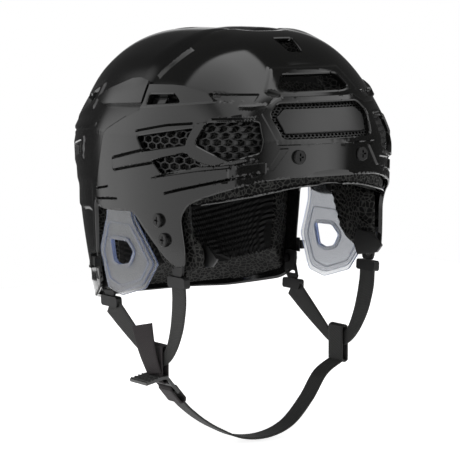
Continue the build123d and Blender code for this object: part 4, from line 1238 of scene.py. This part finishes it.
def makeTail(part, x):
    lean, back, twist = (math.radians(part[key]) for key in ("lean", "back", "twist"))
    up = np.linspace(0, 1, part["rows"])
    still = 0 * up
    base = np.array([-x - part["out"], straps["swingY"] - part["ahead"], part["foot"]])
    way = np.array([-math.sin(lean), math.sin(back), math.cos(lean)]) * part["rise"]
    centre = base + way * up[:, None] + np.column_stack([-part["bow"] * np.sin(up * math.pi), still, still])
    across = np.column_stack([-np.sin(twist * up), np.cos(twist * up), still - math.tan(back)])
    return ribbon("strapEndWeave", centre, across, still + part["width"], part["thickness"], finishes["tailWebbing"],
                  up * part["rise"])


def makeStraps(part):
    left = loopPiece("chinLoopLeft", 1, part["loop"], finishes["webbing"])
    right = loopPiece("strapLoopRight", -1, part["loop"], finishes["tailWebbing"])
    fold = loopPiece("buckleFold", -1, part["fold"], finishes["tailWebbing"])
    chin = flatStrap("chinStrapWeave", *curveThrough(part["chin"], part["chinRows"]), finishes["webbing"])
    place(joinPieces([chin, left, fold]), "strap", "webbing", "chin_strap")
    place(right, "strap", "webbing", "strap_loop")
    place(makeTail(part["tail"], part["x"]), "strap", "webbing", "strap_tail")


makeWebbing(webbing)
makeStraps(straps)
print("straps done")


# Finishes of the nodes that stay as they are

finishOf = {
    "screw": ["brow_screws", "brow_nuts", "temple_screws", "temple_nuts", "hanger_rivets"],
    "fitting": ["guard_studs", "front_hanger", "rear_hanger", "front_slider", "rear_slider", "latch_base",
                "latch_lever"],
    "buckle": ["strap_buckle"],
    "tab": ["temple_tab"],
}


def finishNodes():
    for finish, names in finishOf.items():
        sides = [name + side for name in names for side in ("_left", "_right")]
        for name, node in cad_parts.items():
            if name in names or name.startswith(tuple(sides)):
                node.data.materials.clear()
                node.data.materials.append(finishes[finish])


finishNodes()
print("nodes finished")


# Floor, lamps and the pale surroundings

studio = {
    "floorDrop": 207.0, "floorReach": 800.0,
    "lamps": [
        {"name": "leftBox", "from": (-0.86, 0.30, 0.2), "away": 1500, "size": (1500, 900), "watts": 9},
        {"name": "overBox", "from": (-0.1, -0.16, 1.0), "away": 1300, "size": (700, 700), "watts": 6},
        {"name": "frontBox", "from": (0.5, -0.85, 0.15), "away": 1600, "size": (700, 900), "watts": 6},
    ],
    "aim": (0, 0, -20),
    # what glossy rays see: directions as parts of a unit vector, turns in degrees from the front to the right
    "wall": {"middle": 103.0, "spread": (55.0, 63.0), "levels": (0.1, 0.3), "low": -0.6, "slant": 1.1, "glow": 1.25,
             "sideEdge": 0.02, "lowEdge": 0.03, "highEdge": 0.12},
    "roof": {"x": (-0.62, 0.2), "y": (-0.5, 0.29), "z": (0.62, 0.66), "slant": 0.24, "fade": (-0.1, 0.42, 1.0),
             "glow": 2.4, "edge": 0.02},
    "front": {"rise": (-25.0, 30.0), "fall": (36.0, 46.0), "levels": (0.4, 0.55), "upperFall": 88.0,
              "low": -0.6, "high": 0.78, "glow": 2.0, "edge": 0.1},
    "backdrop": {"middle": -145.4, "spread": 6.0, "low": -1.0, "high": 0.2, "turnEdge": 0.01, "edge": 0.05},
    "dim": 0.07, "ambient": 0.3,
    "floor": {"colours": ((0.9, 0.9, 0.9, 1), (0.94, 0.94, 0.94, 1)), "roughness": 0.9, "glow": 0.8},
}


def largest(tree, *parts):
    return mathNode(tree, "MAXIMUM", *parts)


def makeFloor(part):
    look = part["floor"]
    material, tree, shader = startMaterial("paleFloor")
    noise = addNode(tree, "ShaderNodeTexNoise", {"Scale": 6.0, "Detail": 3.0})
    light = addNode(tree, "ShaderNodeLightPath").outputs
    seen = largest(tree, light["Is Camera Ray"], light["Is Transmission Ray"], light["Is Glossy Ray"])
    feed(tree, shader, {
        "Base Color": blendColour(tree, noise.outputs["Fac"], *look["colours"]),
        "Roughness": look["roughness"],
        "Emission Color": (1, 1, 1, 1),
        "Emission Strength": mathNode(tree, "MULTIPLY", seen, look["glow"]),
    })
    mesh = bpy.data.meshes.new("floor")
    reach, z = part["floorReach"] * mm, -part["floorDrop"] * mm
    corners = [(-reach, -reach, z), (reach, -reach, z), (reach, reach, z), (-reach, reach, z)]
    mesh.from_pydata(corners, [], [(0, 1, 2, 3)])
    mesh.materials.append(material)
    floor = addObject("floor", mesh)


def makeLamps(part):
    aim = Vector(part["aim"])
    for lamp in part["lamps"]:
        data = bpy.data.lights.new(lamp["name"], "AREA")
        data.shape = "RECTANGLE"
        data.size, data.size_y = (length * mm for length in lamp["size"])
        data.energy = lamp["watts"]
        holder = addObject(lamp["name"], data)
        way = Vector(lamp["from"]).normalized()
        holder.location = (aim + way * lamp["away"]) * mm
        holder.rotation_euler = (-way).to_track_quat("-Z", "Y").to_euler()
        holder.visible_glossy = False


def cosine(degrees):
    return math.cos(math.radians(degrees))


def makeSurroundings(part):
    world = bpy.data.worlds.new("surroundings")
    bpy.context.scene.world = world
    world.use_nodes = True
    tree = world.node_tree
    light = addNode(tree, "ShaderNodeLightPath").outputs
    spot = addNode(tree, "ShaderNodeTexCoord").outputs["Generated"]
    x, y, z = addNode(tree, "ShaderNodeSeparateXYZ", {0: spot}).outputs

    def plus(first, second):
        return mathNode(tree, "ADD", first, second)

    def minus(first, second):
        return mathNode(tree, "SUBTRACT", first, second)

    def times(*parts):
        return mathNode(tree, "MULTIPLY", *parts)

    def step(value, start, end, low=0.0, high=1.0):
        span = {"From Min": start, "From Max": end, "To Min": low, "To Max": high}
        return addNode(tree, "ShaderNodeMapRange", {"Value": value, **span}).outputs[0]

    def above(value, middle, soft):
        return step(value, middle - soft, middle + soft)

    def below(value, middle, soft):
        return step(value, middle - soft, middle + soft, 1.0, 0.0)

    level = largest(tree, mathNode(tree, "SQRT", plus(times(x, x), times(y, y))), 0.001)

    def turnFrom(degrees):
        # cosine of the angle on the horizon from a bearing measured from the front to the right
        along = plus(times(x, -math.sin(math.radians(degrees))), times(y, -cosine(degrees)))
        return mathNode(tree, "DIVIDE", along, level)

    def heights(box):
        return times(above(z, box["low"], box["edge"]), below(z, box["high"], box["edge"]))

    wall, roof, front, back = (part[key] for key in ("wall", "roof", "front", "backdrop"))
    side = step(z, *wall["levels"], *map(cosine, wall["spread"]))
    wallLight = times(above(minus(turnFrom(wall["middle"]), side), 0.0, wall["sideEdge"]),
                      above(z, wall["low"], wall["lowEdge"]),
                      below(plus(z, times(x, wall["slant"])), 0.0, wall["highEdge"]), wall["glow"])
    turned = 2 * front["rise"][1]
    rise = step(turnFrom(-turned), *(cosine(turned - angle) for angle in front["rise"]))
    nearFall, farFall = map(cosine, front["fall"])
    side = step(z, *front["levels"], farFall, cosine(front["upperFall"]))
    fall = step(minus(turnFrom(0), side), 0.0, nearFall - farFall)
    frontLight = times(rise, fall, heights(front), front["glow"])
    slant = plus(y, times(x, roof["slant"]))
    roofLight = times(above(x, roof["x"][0], roof["edge"]), below(x, roof["x"][1], roof["edge"]),
                      above(y, roof["y"][0], roof["edge"]), below(slant, roof["y"][1], roof["edge"]),
                      step(z, *roof["z"]), step(x, roof["x"][0], *roof["fade"]), roof["glow"])
    behind = times(above(turnFrom(back["middle"]), cosine(back["spread"]), back["turnEdge"]), heights(back))
    shine = largest(tree, wallLight, roofLight, frontLight, part["dim"], behind)
    glossy = light["Is Glossy Ray"]
    soft = plus(times(shine, glossy), times(minus(1.0, glossy), part["ambient"]))
    strength = largest(tree, light["Is Camera Ray"], light["Is Transmission Ray"], soft)
    feed(tree, tree.nodes["Background"], {"Strength": strength, "Color": (1, 1, 1, 1)})
    bpy.context.scene.view_settings.view_transform = "Standard"


makeFloor(studio)
makeLamps(studio)
makeSurroundings(studio)
print("studio done")
